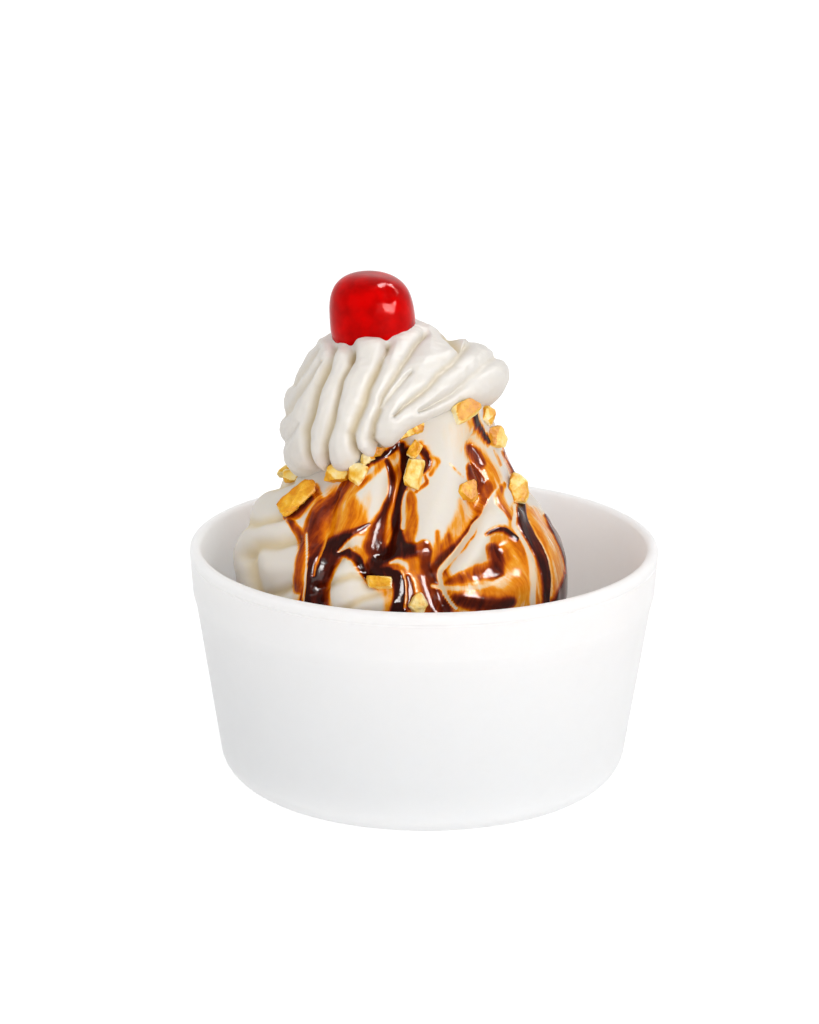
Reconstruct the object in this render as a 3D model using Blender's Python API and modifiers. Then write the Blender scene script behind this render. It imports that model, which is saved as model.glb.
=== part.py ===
"""Soft serve sundae in a white foam bowl: bowl, soft serve, whipped cream and cherry.

Lengths are in millimetres in the constants and functions, and in metres in the meshes.
The origin is the middle of the bowl's underside, +Z is up, and the photo looks along +Y.
Landmarks on the front of the food are written as (across, down) in picture units of the
front view, where one unit is 0.245 mm, because that is where they can be measured.
"""
import math

import bmesh
import bpy
import numpy as np
from mathutils import Matrix, Vector

OBJECT_NAME = "soft_serve_sundae"
MM = 0.001
GAP = 0.35

# The front view: where the eye stands, and what one picture unit is.
VIEW_DISTANCE = 800.0
VIEW_RISE = math.radians(18.35)
VIEW_TARGET = np.array([0.0, 0.0, 40.0])
VIEW_UNITS = 3265.0
VIEW_ROLL = math.radians(0.41)
VIEW_MIDDLE = (423.5, 611.3)
TOWARD_EYE = np.array([0.0, -math.cos(VIEW_RISE), math.sin(VIEW_RISE)])
VIEW_UP = np.array([0.0, math.sin(VIEW_RISE), math.cos(VIEW_RISE)])

# Bowl: height, radii and wall, with a band under the lip.
BOWL_STEPS = 64
BOWL_PROFILE = [
    (0.0, 3.0), (38.5, 3.0), (43.4, 4.8), (46.4, 9.4), (54.1, 56.0), (54.6, 57.3), (55.5, 58.0),
    (56.4, 57.6), (57.0, 56.4), (56.9, 55.2), (56.2, 46.4), (55.4, 43.4), (50.1, 8.6),
    (48.6, 3.9), (45.6, 1.1), (42.2, 0.0), (0.0, 0.0),
]

# Soft serve: height, radius and sideways shift of the middle, from the floor to the hidden top.
SERVE_PROFILE = [
    (3.35, 0.0, -5.3), (3.35, 29.0, -5.3), (4.6, 34.5, -5.3), (9.0, 37.0, -5.3), (20.0, 38.6, -5.3),
    (32.0, 39.2, -5.3), (42.0, 39.6, -5.3), (48.0, 39.7, -5.3), (52.9, 39.4, -5.5), (57.9, 37.9, -5.8),
    (62.8, 35.5, -6.3), (67.2, 32.4, -6.5), (70.6, 29.5, -5.9), (74.5, 26.2, -4.9), (79.4, 23.4, -4.2),
    (85.2, 21.4, -4.5), (91.0, 19.6, -4.1), (95.3, 16.2, -3.9), (98.2, 9.4, -3.9), (99.6, 0.0, -3.9),
]
# Columns of both foods are close together in front: share of the columns and bearing in degrees.
FRONT_BEARINGS = [(0.0, -195.0), (0.68, 15.0), (1.0, 165.0)]
SERVE_COLUMNS = 76
SERVE_UP = 32
# Rows of the grid are close together on the part that shows: share of rows, share of profile.
SERVE_ROWS = [(0.0, 0.0), (0.12, 0.26), (0.90, 0.84), (1.0, 1.0)]
# Flutes on the sides and back: spacing in mm, climb per turn, depth, and where one starts.
FLUTE_SPACING = 9.3
FLUTE_TURNS = 9.0
FLUTE_DEPTH = 2.4
FLUTE_START = (182.0, 54.6)
# The flutes are broad with narrow valleys: the power of their sine, and its middle level.
FLUTE_POWER = 0.7
FLUTE_MIDDLE = 0.40
# Where the flutes begin and end, in degrees, and where the relief fades out, in mm of height.
FLUTE_BEGINS = (-5.0, 25.0)
FLUTE_ENDS = (150.0, 184.0)
RELIEF_BEGINS = (8.0, 30.0)
RELIEF_ENDS = (92.0, 99.0)
# The folds of the front fade out on what faces away: the share of the normal toward the eye.
FOLDS_FACING = (-0.25, 0.15)
# The folds wander a little: how far in picture units, and the size of the waves in mm.
FOLD_WANDER = 1.5
FOLD_WAVES = 11.0

# Folds on the front of the soft serve: height in mm, then a path of (across, down, half width).
FOLDS = [
    (3.0, (455, 410, 22), (447, 450, 22), (440, 492, 22), (432, 522, 21), (424, 550, 18)),
    (-2.0, (399, 438, 8), (398, 480, 9), (392, 520, 10), (384, 550, 10)),
    (-2.0, (470, 440, 7), (484, 480, 8), (474, 512, 9), (456, 542, 10), (436, 572, 10), (446, 604, 8)),
    (1.8, (492, 520, 17), (478, 548, 17), (470, 575, 15)),
    (2.0, (520, 520, 20), (538, 555, 20), (540, 600, 18)),
    (-1.8, (494, 548, 9), (490, 565, 11), (472, 574, 8)),
    (1.6, (455, 592, 12), (490, 596, 13), (515, 588, 12)),
    (-1.0, (517, 500, 5), (524, 530, 6), (538, 570, 6), (540, 604, 6)),
    (2.6, (380, 475, 17), (362, 505, 20), (350, 528, 16)),
    (1.4, (322, 500, 10), (314, 545, 12), (310, 598, 12)),
    (-1.2, (337, 498, 6), (328, 530, 7), (322, 545, 7)),
    (2.6, (348, 582, 19), (347, 592, 19)),
    (-1.8, (323, 596, 7), (329, 564, 7), (346, 550, 6), (362, 562, 6), (372, 582, 7)),
    (2.4, (340, 606, 13), (385, 604, 14)),
    (-1.0, (350, 596, 5), (372, 595, 5), (392, 590, 5)),
    (1.6, (410, 556, 12), (400, 575, 13), (398, 600, 13)),
    (1.5, (264, 513, 20), (284, 506, 18), (300, 499, 13)),
    (1.9, (240, 552, 15), (254, 543, 14), (274, 534, 11), (294, 530, 8)),
    (1.0, (243, 572, 11), (250, 590, 12)),
    (2.0, (274, 568, 15), (296, 568, 16)),
    (-0.9, (236, 529, 5), (262, 525, 5), (286, 519, 4)),
    (-1.5, (252, 556, 5), (262, 549, 5), (276, 546, 5), (299, 542, 4)),
    (-1.0, (255, 560, 5), (256, 576, 6), (260, 594, 5)),
    (-1.2, (262, 597, 5), (276, 593, 5), (290, 589, 4)),
    (-0.8, (258, 490, 6), (276, 487, 5), (292, 484, 4)),
    (1.0, (288, 602, 8), (302, 602, 8)),
]

# Thick syrup, which stands proud: a path of (across, down, half width).
SYRUP_RISE = 0.45
SYRUP = [
    [(350, 480, 6), (335, 502, 9), (324, 530, 10), (314, 562, 12), (312, 602, 13)],
    [(365, 529, 5), (340, 545, 10), (326, 562, 12), (318, 602, 13)],
    [(391, 470, 5), (391, 500, 6), (382, 525, 8), (375, 556, 9)],
    [(401, 444, 5), (404, 480, 6), (397, 510, 6), (398, 545, 8)],
    [(372, 568, 8), (388, 554, 9), (427, 550, 7), (428, 606, 10)],
    [(392, 575, 6), (401, 590, 8), (400, 610, 9)],
    [(475, 450, 7), (482, 490, 7), (473, 525, 6), (450, 555, 8), (434, 578, 9), (443, 606, 9)],
    [(521, 502, 6), (526, 532, 7), (543, 566, 7), (546, 604, 6)],
    [(456, 602, 6), (496, 606, 6), (512, 603, 5)],
    [(556, 538, 4), (567, 562, 6), (560, 600, 7)],
]

# Whipped cream: a dome about its middle, ribbed by a star nozzle that turned as it lifted.
CREAM_MIDDLE = (-7.4, 0.0, 86.9)
CREAM_RADIUS = 27.6
CREAM_COLUMNS = 80
CREAM_UP = 17
# Columns lean along the ribs on their way up: bearing of the foot and lean, in degrees.
CREAM_LEAN = [(-195.0, 0.0), (-120.0, 0.0), (-95.0, 60.0), (0.0, 80.0), (165.0, 0.0)]
# Valleys in front: share of the depth, then a path of (across, down, half width).
CREAM_VALLEYS = [
    (1.0, (333, 345, 4), (323, 366, 5), (315, 384, 5), (308, 409, 5), (302, 432, 5), (303, 448, 4),
     (306, 476, 4)),
    (0.9, (353, 348, 3), (339, 378, 4), (334, 398, 4), (327, 427, 5), (321, 446, 5), (320, 473, 4)),
    (0.95, (386, 342, 3), (377, 366, 5), (367, 386, 6), (361, 404, 6), (354, 419, 6), (349, 434, 6),
     (350, 450, 5), (356, 466, 5)),
    (0.75, (426, 330, 4), (414, 345, 5), (403, 360, 5), (392, 378, 5), (381, 396, 4), (378, 406, 3)),
    (0.55, (412, 370, 2), (405, 376, 4), (390, 394, 5), (378, 409, 5)),
    (0.85, (378, 409, 5), (372, 424, 5), (370, 440, 5), (376, 454, 5)),
    (0.8, (470, 342, 6), (455, 360, 6), (441, 372, 6), (430, 385, 6), (415, 396, 6), (402, 405, 5),
     (394, 416, 4)),
    (1.1, (442, 314, 8), (453, 330, 8), (462, 344, 5)),
    (0.6, (506, 350, 6), (485, 365, 7), (469, 380, 6), (458, 390, 5), (446, 398, 4)),
    (0.6, (284, 410, 6), (296, 392, 5), (308, 374, 5), (319, 358, 4)),
    (0.5, (296, 376, 5), (306, 362, 4), (317, 346, 3)),
    (0.4, (280, 458, 6), (288, 446, 4), (295, 428, 3)),
]
VALLEY_DEPTHS = (1.7, 1.0)
VALLEY_NARROW = 0.78
VALLEY_BROAD = 2.6
# Valleys behind climb as they go round: levels of one at the right and at the left, and spacings.
TWIST_START = (31.0, 149.0)
TWIST_SPACING = (18.0, 28.0)
TWIST_SLANT = 0.8
VALLEY_WIDTH = 1.25
BACK_DEPTH = 0.85
BACK_WANDER = 0.15
BACK_WAVES = 6.0
# The dome is a little flatter above these levels, and it bulges to the right at one place.
DOME_FLATTER = 1.2
DOME_LEVELS = (45.0, 65.0)
RIGHT_BULGE = 3.4
BULGE_PLACE = (5.0, 29.0)
BULGE_SPREAD = (34.0, 14.0)
# The valleys of the front fade out on what faces away, and all of them end below the top.
VALLEYS_FACING = (-0.50, -0.15)
VALLEYS_TOP = (92.0, 70.0)
# The valleys wander a little: how far in picture units, and the size of the waves in mm.
VALLEY_WANDER = 1.2
VALLEY_WAVES = 8.0
# Rounding in at the lower edge: how far up it starts, over how much, and how much it takes.
EDGE_BELOW = 6.0
EDGE_START = 12.0
EDGE_SPREAD = 18.0
EDGE_PER_DIP = 3.0
EDGE_TAKES = 0.28
# The lower edge of the cream: bearing and level, in degrees.
CREAM_EDGE = [
    (-180, -29), (-160, -32), (-140, -33), (-128, -24), (-118, -18), (-108, -12), (-98, -3),
    (-90, 6), (-80, 12), (-65, 16), (-45, 18), (-20, 17), (0, 15), (30, 6), (70, -8),
    (110, -18), (150, -26), (180, -29),
]

# The share of the cream's rows that close it inside the soft serve, where they are cut away.
CREAM_HIDDEN = 0.12

# Cherry: middle, half sizes and the dimple where the stem was.
CHERRY_MIDDLE = (-12.6, -0.5, 114.4)
CHERRY_HALF = (10.3, 10.2, 10.3)
CHERRY_SQUARE = 2.75
CHERRY_DIMPLE = (0.32, -0.69, 0.64)
CHERRY_DENT = 0.085
CHERRY_DENT_WIDTH = 0.20
# The shoulder that is flattened: which way it faces, how much it takes and how sharply.
CHERRY_SHOULDER = (0.70, 0.0, 0.714)
CHERRY_SLOPE = 0.075
CHERRY_SLOPE_POWER = 5
CHERRY_AROUND = 24
CHERRY_UP = 14

# Chopped nuts seen in front: place in picture units, length, width, thickness in mm and turn.
NUTS_IN_FRONT = [
    (298, 500, 10.8, 5.8, 4.4, 50), (294, 477, 5.4, 3.6, 2.8, 8), (339, 469, 6.2, 4.0, 3.2, 8),
    (359, 475, 5.0, 4.8, 3.4, 80), (414, 473, 7.8, 4.8, 3.8, 86), (415, 449, 4.2, 3.2, 2.6, 66),
    (405, 431, 6.6, 4.2, 2.6, 30), (415, 424, 4.4, 3.2, 2.4, 110), (464, 411, 7.4, 4.6, 3.2, 28),
    (493, 437, 6.0, 5.2, 3.8, 75), (466, 491, 5.2, 4.8, 2.8, 0), (515, 491, 7.6, 5.0, 3.8, 68),
    (380, 583, 6.4, 3.4, 2.4, 4), (418, 604, 4.4, 4.0, 3.0, 40), (368, 458, 3.6, 3.0, 2.0, 40),
    (378, 453, 3.0, 2.4, 1.8, 10), (487, 416, 4.0, 3.6, 2.6, 60),
]
# Chopped nuts behind: bearing in degrees, height, length, width, thickness and turn.
NUTS_BEHIND = [
    (38, 74, 6.6, 4.8, 3.2, 20), (62, 62, 5.8, 4.4, 3.0, 75), (84, 80, 6.4, 4.6, 3.0, 140),
    (118, 66, 7.2, 5.0, 3.4, 50), (150, 71, 5.6, 4.4, 3.0, 110),
]
NUT_RAISED = 0.25
NUT_AROUND = 6
NUT_UP = 4
NUT_SEED = 40
# A nut is cut by the 6 sides of a tilted box and by 5 planes more, each at a random distance.
NUT_TILT = 0.28
NUT_MORE_PLANES = 5
NUT_BOX_REACH = (0.78, 1.0)
NUT_MORE_REACH = (0.85, 1.1)
NUT_CRISP = 26
NUT_LONGEST = 1.25
# A nut in front lies where the surface faces the eye by at least this share.
NUT_FACING = 0.12
# Behind, one degree around the soft serve is about this many mm.
SIDE_DEGREE = 0.6


def smooth_step(low, high, value):
    """Rise smoothly from 0 at low to 1 at high."""
    t = np.clip((value - low) / (high - low), 0.0, 1.0)
    return t * t * (3.0 - 2.0 * t)


def through(knots, where):
    """Give the point of a smooth curve through the knots, where 0 is the first and 1 the last."""
    knots = np.array(knots, dtype=float)
    padded = np.vstack([2 * knots[0] - knots[1], knots, 2 * knots[-1] - knots[-2]])
    place = np.clip(where, 0.0, 1.0) * (len(knots) - 1)
    index = np.minimum(place.astype(int), len(knots) - 2)
    t = (place - index)[..., None]
    a, b, c, d = (padded[index + k] for k in range(4))
    return 0.5 * (2 * b + (c - a) * t + (2 * a - 5 * b + 4 * c - d) * t ** 2
                  + (3 * b - a - 3 * c + d) * t ** 3)


def front_view(points):
    """Give where points stand in the front view, across and down, in picture units."""
    seen = points - (VIEW_TARGET + VIEW_DISTANCE * TOWARD_EYE)
    depth = -(seen @ TOWARD_EYE)
    across = VIEW_UNITS * seen[..., 0] / depth
    down = -VIEW_UNITS * (seen @ VIEW_UP) / depth
    turn, lean = math.cos(VIEW_ROLL), math.sin(VIEW_ROLL)
    return VIEW_MIDDLE[0] + across * turn - down * lean, VIEW_MIDDLE[1] + across * lean + down * turn


def reach(across, down, path):
    """Give the distance from each place to a path, as a share of the path's half width there."""
    best = np.full(across.shape, np.inf)
    for (x0, y0, wide), (x1, y1, narrow) in zip(path[:-1], path[1:]):
        run, fall = x1 - x0, y1 - y0
        t = np.clip(((across - x0) * run + (down - y0) * fall) / (run * run + fall * fall), 0, 1)
        away = np.hypot(across - x0 - t * run, down - y0 - t * fall)
        best = np.minimum(best, away / (wide + (narrow - wide) * t))
    return best


def waves(points, size, seed, count=9):
    """Give a smooth random field: sine waves of about one size in seeded random directions."""
    rng = np.random.default_rng(seed)
    total = np.zeros(points.shape[:-1])
    for _ in range(count):
        way = rng.normal(size=3)
        way = way / np.linalg.norm(way) * 2.0 * math.pi / (size * rng.uniform(0.7, 1.5))
        total += np.sin(points @ way + rng.uniform(0.0, 2.0 * math.pi))
    return total / math.sqrt(count)


def grid_normals(points):
    """Give the outward normal at each point of a closed grid (rows go up, columns around)."""
    around = np.roll(points, -1, axis=1) - np.roll(points, 1, axis=1)
    upward = np.gradient(points, axis=0)
    normal = np.cross(around, upward)
    length = np.linalg.norm(normal, axis=2, keepdims=True)
    normal = normal / np.maximum(length, 1e-9)
    normal[0] = (0.0, 0.0, -1.0)
    normal[-1] = (0.0, 0.0, 1.0)
    return normal


def serve_surface(bearing, share, proud):
    """Soft serve: a bulging profile turned about a leaning middle, with flutes, folds and syrup."""
    share = np.interp(share, *np.array(SERVE_ROWS).T)
    level, radius, shift = np.moveaxis(through(SERVE_PROFILE, share), -1, 0)
    base = np.stack([shift + radius * np.cos(bearing), radius * np.sin(bearing), level], axis=-1)
    normal = grid_normals(base)
    front = smooth_step(*FOLDS_FACING, normal @ TOWARD_EYE)
    degrees = np.degrees(bearing) % 360.0
    side = smooth_step(*FLUTE_BEGINS, degrees) * (1.0 - smooth_step(*FLUTE_ENDS, degrees))
    turn = (degrees - FLUTE_START[0]) / 360.0
    phase = (level - FLUTE_START[1]) / FLUTE_SPACING - FLUTE_TURNS * turn
    flute = np.abs(np.sin(math.pi * phase)) ** FLUTE_POWER
    relief = FLUTE_DEPTH * (flute - FLUTE_MIDDLE) * side
    across, down = front_view(base)
    across = across + FOLD_WANDER * waves(base, FOLD_WAVES, 3)
    down = down + FOLD_WANDER * waves(base, FOLD_WAVES, 4)
    for height, *path in FOLDS:
        relief = relief + front * height * np.exp(-reach(across, down, path) ** 2)
    syrup = np.zeros(across.shape)
    for path in SYRUP:
        syrup = np.maximum(syrup, np.exp(-reach(across, down, path) ** 4))
    relief = relief + front * SYRUP_RISE * syrup
    fade = smooth_step(*RELIEF_BEGINS, level) * (1.0 - smooth_step(*RELIEF_ENDS, level))
    return base + normal * (relief * fade + proud)[..., None]


def cream_front(base):
    """Give how much the valleys of the front take from the dome, as the front view shows them."""
    across, down = front_view(base)
    across = across + VALLEY_WANDER * waves(base, VALLEY_WAVES, 13)
    down = down + VALLEY_WANDER * waves(base, VALLEY_WAVES, 14)
    dip = np.zeros(across.shape)
    for share_of_depth, *path in CREAM_VALLEYS:
        dip = np.maximum(dip, share_of_depth * valley(reach(across, down, path)))
    return dip


def cream_back(base, degrees, level, radius):
    """Give how much the climbing valleys of the back take from the dome."""
    around = np.where(degrees < -90.0, degrees + 360.0, degrees) / 180.0
    spacing = TWIST_SPACING[0] + (TWIST_SPACING[1] - TWIST_SPACING[0]) * around
    start = TWIST_START[0] + (TWIST_START[1] - TWIST_START[0]) * around * np.abs(around)
    phase = (level - start) / spacing
    away = np.abs(phase - np.round(phase)) * np.radians(spacing) * radius * TWIST_SLANT
    return BACK_DEPTH * valley(away / VALLEY_WIDTH + BACK_WANDER * waves(base, BACK_WAVES, 15))


def valley(near):
    """Give the section of a valley: a narrow groove in a broad shallow one."""
    narrow = VALLEY_DEPTHS[0] * np.exp(-(near / VALLEY_NARROW) ** 2)
    return narrow + VALLEY_DEPTHS[1] * np.exp(-(near / VALLEY_BROAD) ** 2)


def cream_surface(bearing, share, proud):
    """Whipped cream: a dome, less what the nearest valley takes, rounded in at its lower edge."""
    degrees = (np.degrees(bearing) + 180.0) % 360.0 - 180.0
    edge = np.interp(degrees, *np.array(CREAM_EDGE, dtype=float).T)
    up = np.maximum(share - CREAM_HIDDEN, 0.0) / (1.0 - CREAM_HIDDEN)
    level = edge - EDGE_BELOW + (90.0 - edge + EDGE_BELOW) * up
    tilt = np.radians(level)
    way = np.stack([np.cos(tilt) * np.cos(bearing), np.cos(tilt) * np.sin(bearing), np.sin(tilt)], axis=-1)
    aside = (degrees - BULGE_PLACE[0]) / BULGE_SPREAD[0]
    above = (level - BULGE_PLACE[1]) / BULGE_SPREAD[1]
    radius = CREAM_RADIUS - DOME_FLATTER * smooth_step(*DOME_LEVELS, level)
    radius = radius + RIGHT_BULGE * np.exp(-aside ** 2 - above ** 2)
    base = np.array(CREAM_MIDDLE) + way * radius[..., None]
    front = smooth_step(*VALLEYS_FACING, way @ TOWARD_EYE)
    dip = front * cream_front(base) + (1.0 - front) * cream_back(base, degrees, level, radius)
    fall = np.clip((edge + EDGE_START + EDGE_PER_DIP * dip - level) / EDGE_SPREAD, 0.0, 1.0)
    radius = radius - dip * smooth_step(*VALLEYS_TOP, level)
    radius = radius * (1.0 - EDGE_TAKES * (1.0 - np.sqrt(1.0 - fall * fall))) + proud
    radius = radius * np.clip(share / CREAM_HIDDEN, 0.0, 1.0)
    return np.array(CREAM_MIDDLE) + way * radius[..., None]


def cherry_surface(bearing, share, proud):
    """Cherry: a squarish ball with a flat shoulder, a stem dimple and creases that leave it."""
    tilt = math.pi * (share - 0.5)
    way = np.stack([np.cos(tilt) * np.cos(bearing), np.cos(tilt) * np.sin(bearing), np.sin(tilt)],
                   axis=-1)
    power = np.cos(tilt) ** CHERRY_SQUARE + np.abs(np.sin(tilt)) ** CHERRY_SQUARE
    power = power ** (-1.0 / CHERRY_SQUARE)
    stem = np.array(CHERRY_DIMPLE) / np.linalg.norm(CHERRY_DIMPLE)
    off = np.arccos(np.clip(way @ stem, -1.0, 1.0))
    dent = CHERRY_DENT * np.exp(-(off / CHERRY_DENT_WIDTH) ** 2)
    slope = np.clip(way @ np.array(CHERRY_SHOULDER), 0.0, 1.0) ** CHERRY_SLOPE_POWER
    size = power * (1.0 - dent - CHERRY_SLOPE * slope)
    return np.array(CHERRY_MIDDLE) + way * size[..., None] * (np.array(CHERRY_HALF) + proud)


def grid(around, rows):
    """Give bearings and shares for a grid that closes around and ends in two poles."""
    bearing = 2.0 * math.pi * np.arange(around) / around
    share = np.linspace(0.0, 1.0, rows + 1)
    return np.meshgrid(bearing, share)


def serve_grid():
    """Give bearings and shares for the soft serve, with columns close together in front."""
    bearing = np.interp(np.arange(SERVE_COLUMNS) / SERVE_COLUMNS, *np.array(FRONT_BEARINGS).T)
    return np.meshgrid(np.radians(bearing), np.linspace(0.0, 1.0, SERVE_UP + 1))


def cream_grid():
    """Give bearings and shares for the cream, with columns that lean along the ribs in front."""
    bearing = np.interp(np.arange(CREAM_COLUMNS) / CREAM_COLUMNS, *np.array(FRONT_BEARINGS).T)
    lean = np.interp(bearing, *np.array(CREAM_LEAN).T)
    visible = np.linspace(0.0, 1.0, CREAM_UP + 1)
    up = np.concatenate([[0.0, 0.0], visible])
    share = np.concatenate([[0.0, 0.4 * CREAM_HIDDEN], CREAM_HIDDEN + (1.0 - CREAM_HIDDEN) * visible])
    bearings = bearing[None, :] + lean[None, :] * up[:, None]
    return np.radians(bearings), np.repeat(share[:, None], CREAM_COLUMNS, axis=1)


def closed_mesh(name, points):
    """Make a closed mesh from a grid of points whose first and last rows are poles."""
    rows, around = points.shape[:2]
    verts = [points[0, 0] * MM]
    for row in points[1:-1]:
        verts.extend(row * MM)
    verts.append(points[-1, 0] * MM)
    last = len(verts) - 1
    faces = []
    for k in range(around):
        after = (k + 1) % around
        faces.append((0, 1 + after, 1 + k))
        for row in range(rows - 3):
            low = 1 + row * around
            faces.append((low + k, low + after, low + around + after, low + around + k))
        top = 1 + (rows - 3) * around
        faces.append((top + k, top + after, last))
    mesh = bpy.data.meshes.new(name)
    mesh.from_pydata([tuple(v) for v in verts], [], faces)
    mesh.validate()
    return bpy.data.objects.new(name, mesh)


def triangulated(obj):
    """Cut every face into triangles, so that it is flat."""
    shape = bmesh.new()
    shape.from_mesh(obj.data)
    bmesh.ops.triangulate(shape, faces=shape.faces)
    shape.to_mesh(obj.data)
    shape.free()


def plain_material(name, colour, roughness):
    """Make a Principled material of one colour."""
    material = bpy.data.materials.new(name)
    material.use_nodes = True
    shader = material.node_tree.nodes["Principled BSDF"]
    shader.inputs["Base Color"].default_value = (*colour, 1.0)
    shader.inputs["Roughness"].default_value = roughness
    return material


def nut(name, place, outward, size, turn, proud, seed):
    """Make one chopped nut: a ball cut by random planes, which lies half sunk on the surface."""
    rng = np.random.default_rng(seed)
    bearing, share = grid(NUT_AROUND, NUT_UP)
    tilt = math.pi * (share - 0.5)
    way = np.stack([np.cos(tilt) * np.cos(bearing), np.cos(tilt) * np.sin(bearing), np.sin(tilt)],
                   axis=-1)
    box = np.vstack([np.eye(3), -np.eye(3)]) + rng.normal(0.0, NUT_TILT, (6, 3))
    planes = np.vstack([box, rng.normal(size=(NUT_MORE_PLANES, 3))])
    planes = planes / np.linalg.norm(planes, axis=1, keepdims=True)
    box_away = rng.uniform(*NUT_BOX_REACH, 6)
    away = np.concatenate([box_away, rng.uniform(*NUT_MORE_REACH, NUT_MORE_PLANES)])
    nearness = np.maximum(way @ planes.T, 0.0) / away
    radius = (nearness ** NUT_CRISP).sum(axis=-1) ** (-1.0 / NUT_CRISP)
    radius = np.minimum(radius, NUT_LONGEST)
    shape = way * (radius[..., None] * np.array(size) * 0.5 + proud)
    stand = Vector(outward).to_track_quat("Z", "Y").to_matrix()
    stand = stand @ Matrix.Rotation(math.radians(turn), 3, "Z")
    piece = closed_mesh(name, shape @ np.array(stand).T + place + outward * size[2] * NUT_RAISED)
    triangulated(piece)
    return piece


def nut_places(points):
    """Find where each nut lies on the soft serve, and which way the surface faces there."""
    normal = grid_normals(points)
    across, down = front_view(points)
    away_from_eye = normal @ TOWARD_EYE < NUT_FACING
    places = []
    for x, y, length, width, thick, turn in NUTS_IN_FRONT:
        miss = np.where(away_from_eye, np.inf, np.hypot(across - x, down - y))
        spot = np.unravel_index(np.argmin(miss), miss.shape)
        outward = normal[spot] + TOWARD_EYE
        places.append((points[spot], outward / np.linalg.norm(outward), (length, width, thick), turn))
    bearing = np.degrees(np.arctan2(points[..., 1], points[..., 0] - SERVE_PROFILE[0][2]))
    for angle, height, length, width, thick, turn in NUTS_BEHIND:
        miss = np.hypot((bearing - angle) * SIDE_DEGREE, points[..., 2] - height)
        spot = np.unravel_index(np.argmin(miss), miss.shape)
        places.append((points[spot], normal[spot], (length, width, thick), turn))
    return places


def joined(obj, collection, operation, solver):
    """Apply one Boolean of a whole collection to an object, then remove the collection."""
    change = obj.modifiers.new("join", "BOOLEAN")
    change.operand_type = "COLLECTION"
    change.collection = collection
    change.operation = operation
    change.solver = solver
    bpy.context.view_layer.update()
    result = bpy.data.meshes.new_from_object(obj.evaluated_get(bpy.context.evaluated_depsgraph_get()))
    obj.modifiers.clear()
    obj.data = result
    for part in list(collection.objects):
        bpy.data.objects.remove(part)
    bpy.data.collections.remove(collection)


def largest_piece(obj):
    """Keep the biggest connected shell, and drop loose scraps and sealed hollows."""
    shape = bmesh.new()
    shape.from_mesh(obj.data)
    bmesh.ops.remove_doubles(shape, verts=shape.verts, dist=0.00001)
    bmesh.ops.dissolve_degenerate(shape, edges=shape.edges, dist=0.00001)
    waiting = set(shape.verts)
    shells = []
    while waiting:
        stack = [waiting.pop()]
        shell = set(stack)
        while stack:
            for edge in stack.pop().link_edges:
                for other in edge.verts:
                    if other in waiting:
                        waiting.discard(other)
                        shell.add(other)
                        stack.append(other)
        shells.append(shell)
    shells.sort(key=len)
    for shell in shells[:-1]:
        bmesh.ops.delete(shape, geom=list(shell), context="VERTS")
    bmesh.ops.triangulate(shape, faces=shape.faces)
    shape.to_mesh(obj.data)
    shape.free()


for old in list(bpy.data.objects):
    bpy.data.objects.remove(old)

model = bpy.data.collections.new(OBJECT_NAME)
bpy.context.scene.collection.children.link(model)

# Bowl: one profile turned about the middle.
profile = bpy.data.meshes.new("bowl")
corners = [(r * MM, 0.0, z * MM) for r, z in BOWL_PROFILE]
profile.from_pydata(corners, [(k, k + 1) for k in range(len(corners) - 1)], [])
bowl = bpy.data.objects.new("bowl", profile)
model.objects.link(bowl)
turned = bowl.modifiers.new("turned", "SCREW")
turned.steps = BOWL_STEPS
turned.render_steps = BOWL_STEPS
turned.use_merge_vertices = True
turned.merge_threshold = 0.00005
bowl.data.materials.append(plain_material("foam_white", (0.90, 0.90, 0.90), 0.6))

# Soft serve, with the chopped nuts fused to it.
bearings, shares = serve_grid()
serve_points = serve_surface(bearings, shares, 0.0)
soft_serve = closed_mesh("soft_serve", serve_points)
triangulated(soft_serve)
model.objects.link(soft_serve)
nuts = bpy.data.collections.new("nuts")
bpy.context.scene.collection.children.link(nuts)
cream_cutters = bpy.data.collections.new("cream_cutters")
bpy.context.scene.collection.children.link(cream_cutters)
for number, (place, outward, size, turn) in enumerate(nut_places(serve_points)):
    name = "nut_%02d" % number
    nuts.objects.link(nut(name, place, outward, size, turn, 0.0, NUT_SEED + number))
    wider = nut(name + "_room", place, outward, size, turn, GAP, NUT_SEED + number)
    cream_cutters.objects.link(wider)
joined(soft_serve, nuts, "UNION", "EXACT")
largest_piece(soft_serve)
soft_serve.data.materials.clear()
soft_serve.data.materials.append(plain_material("vanilla_ice", (0.84, 0.78, 0.66), 0.4))

# Whipped cream, cut to lie on the soft serve and to hold the cherry.
bearings, shares = cream_grid()
whipped_cream = closed_mesh("whipped_cream", cream_surface(bearings, shares, 0.0))
triangulated(whipped_cream)
model.objects.link(whipped_cream)
bearings, shares = serve_grid()
serve_room = closed_mesh("serve_room", serve_surface(bearings, shares, GAP))
triangulated(serve_room)
cream_cutters.objects.link(serve_room)
bearings, shares = grid(CHERRY_AROUND, CHERRY_UP)
cherry_room = closed_mesh("cherry_room", cherry_surface(bearings, shares, GAP))
triangulated(cherry_room)
cream_cutters.objects.link(cherry_room)
joined(whipped_cream, cream_cutters, "DIFFERENCE", "EXACT")
largest_piece(whipped_cream)
whipped_cream.data.materials.clear()
whipped_cream.data.materials.append(plain_material("whipped_cream", (0.90, 0.88, 0.85), 0.5))

# Cherry.
cherry = closed_mesh("cherry", cherry_surface(bearings, shares, 0.0))
triangulated(cherry)
model.objects.link(cherry)
cherry.data.materials.append(plain_material("cherry_red", (0.60, 0.01, 0.01), 0.15))

for node in (bowl, soft_serve, whipped_cream, cherry):
    print(node.name, len(node.data.polygons), [round(v * 1000, 1) for v in node.dimensions])
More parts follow.
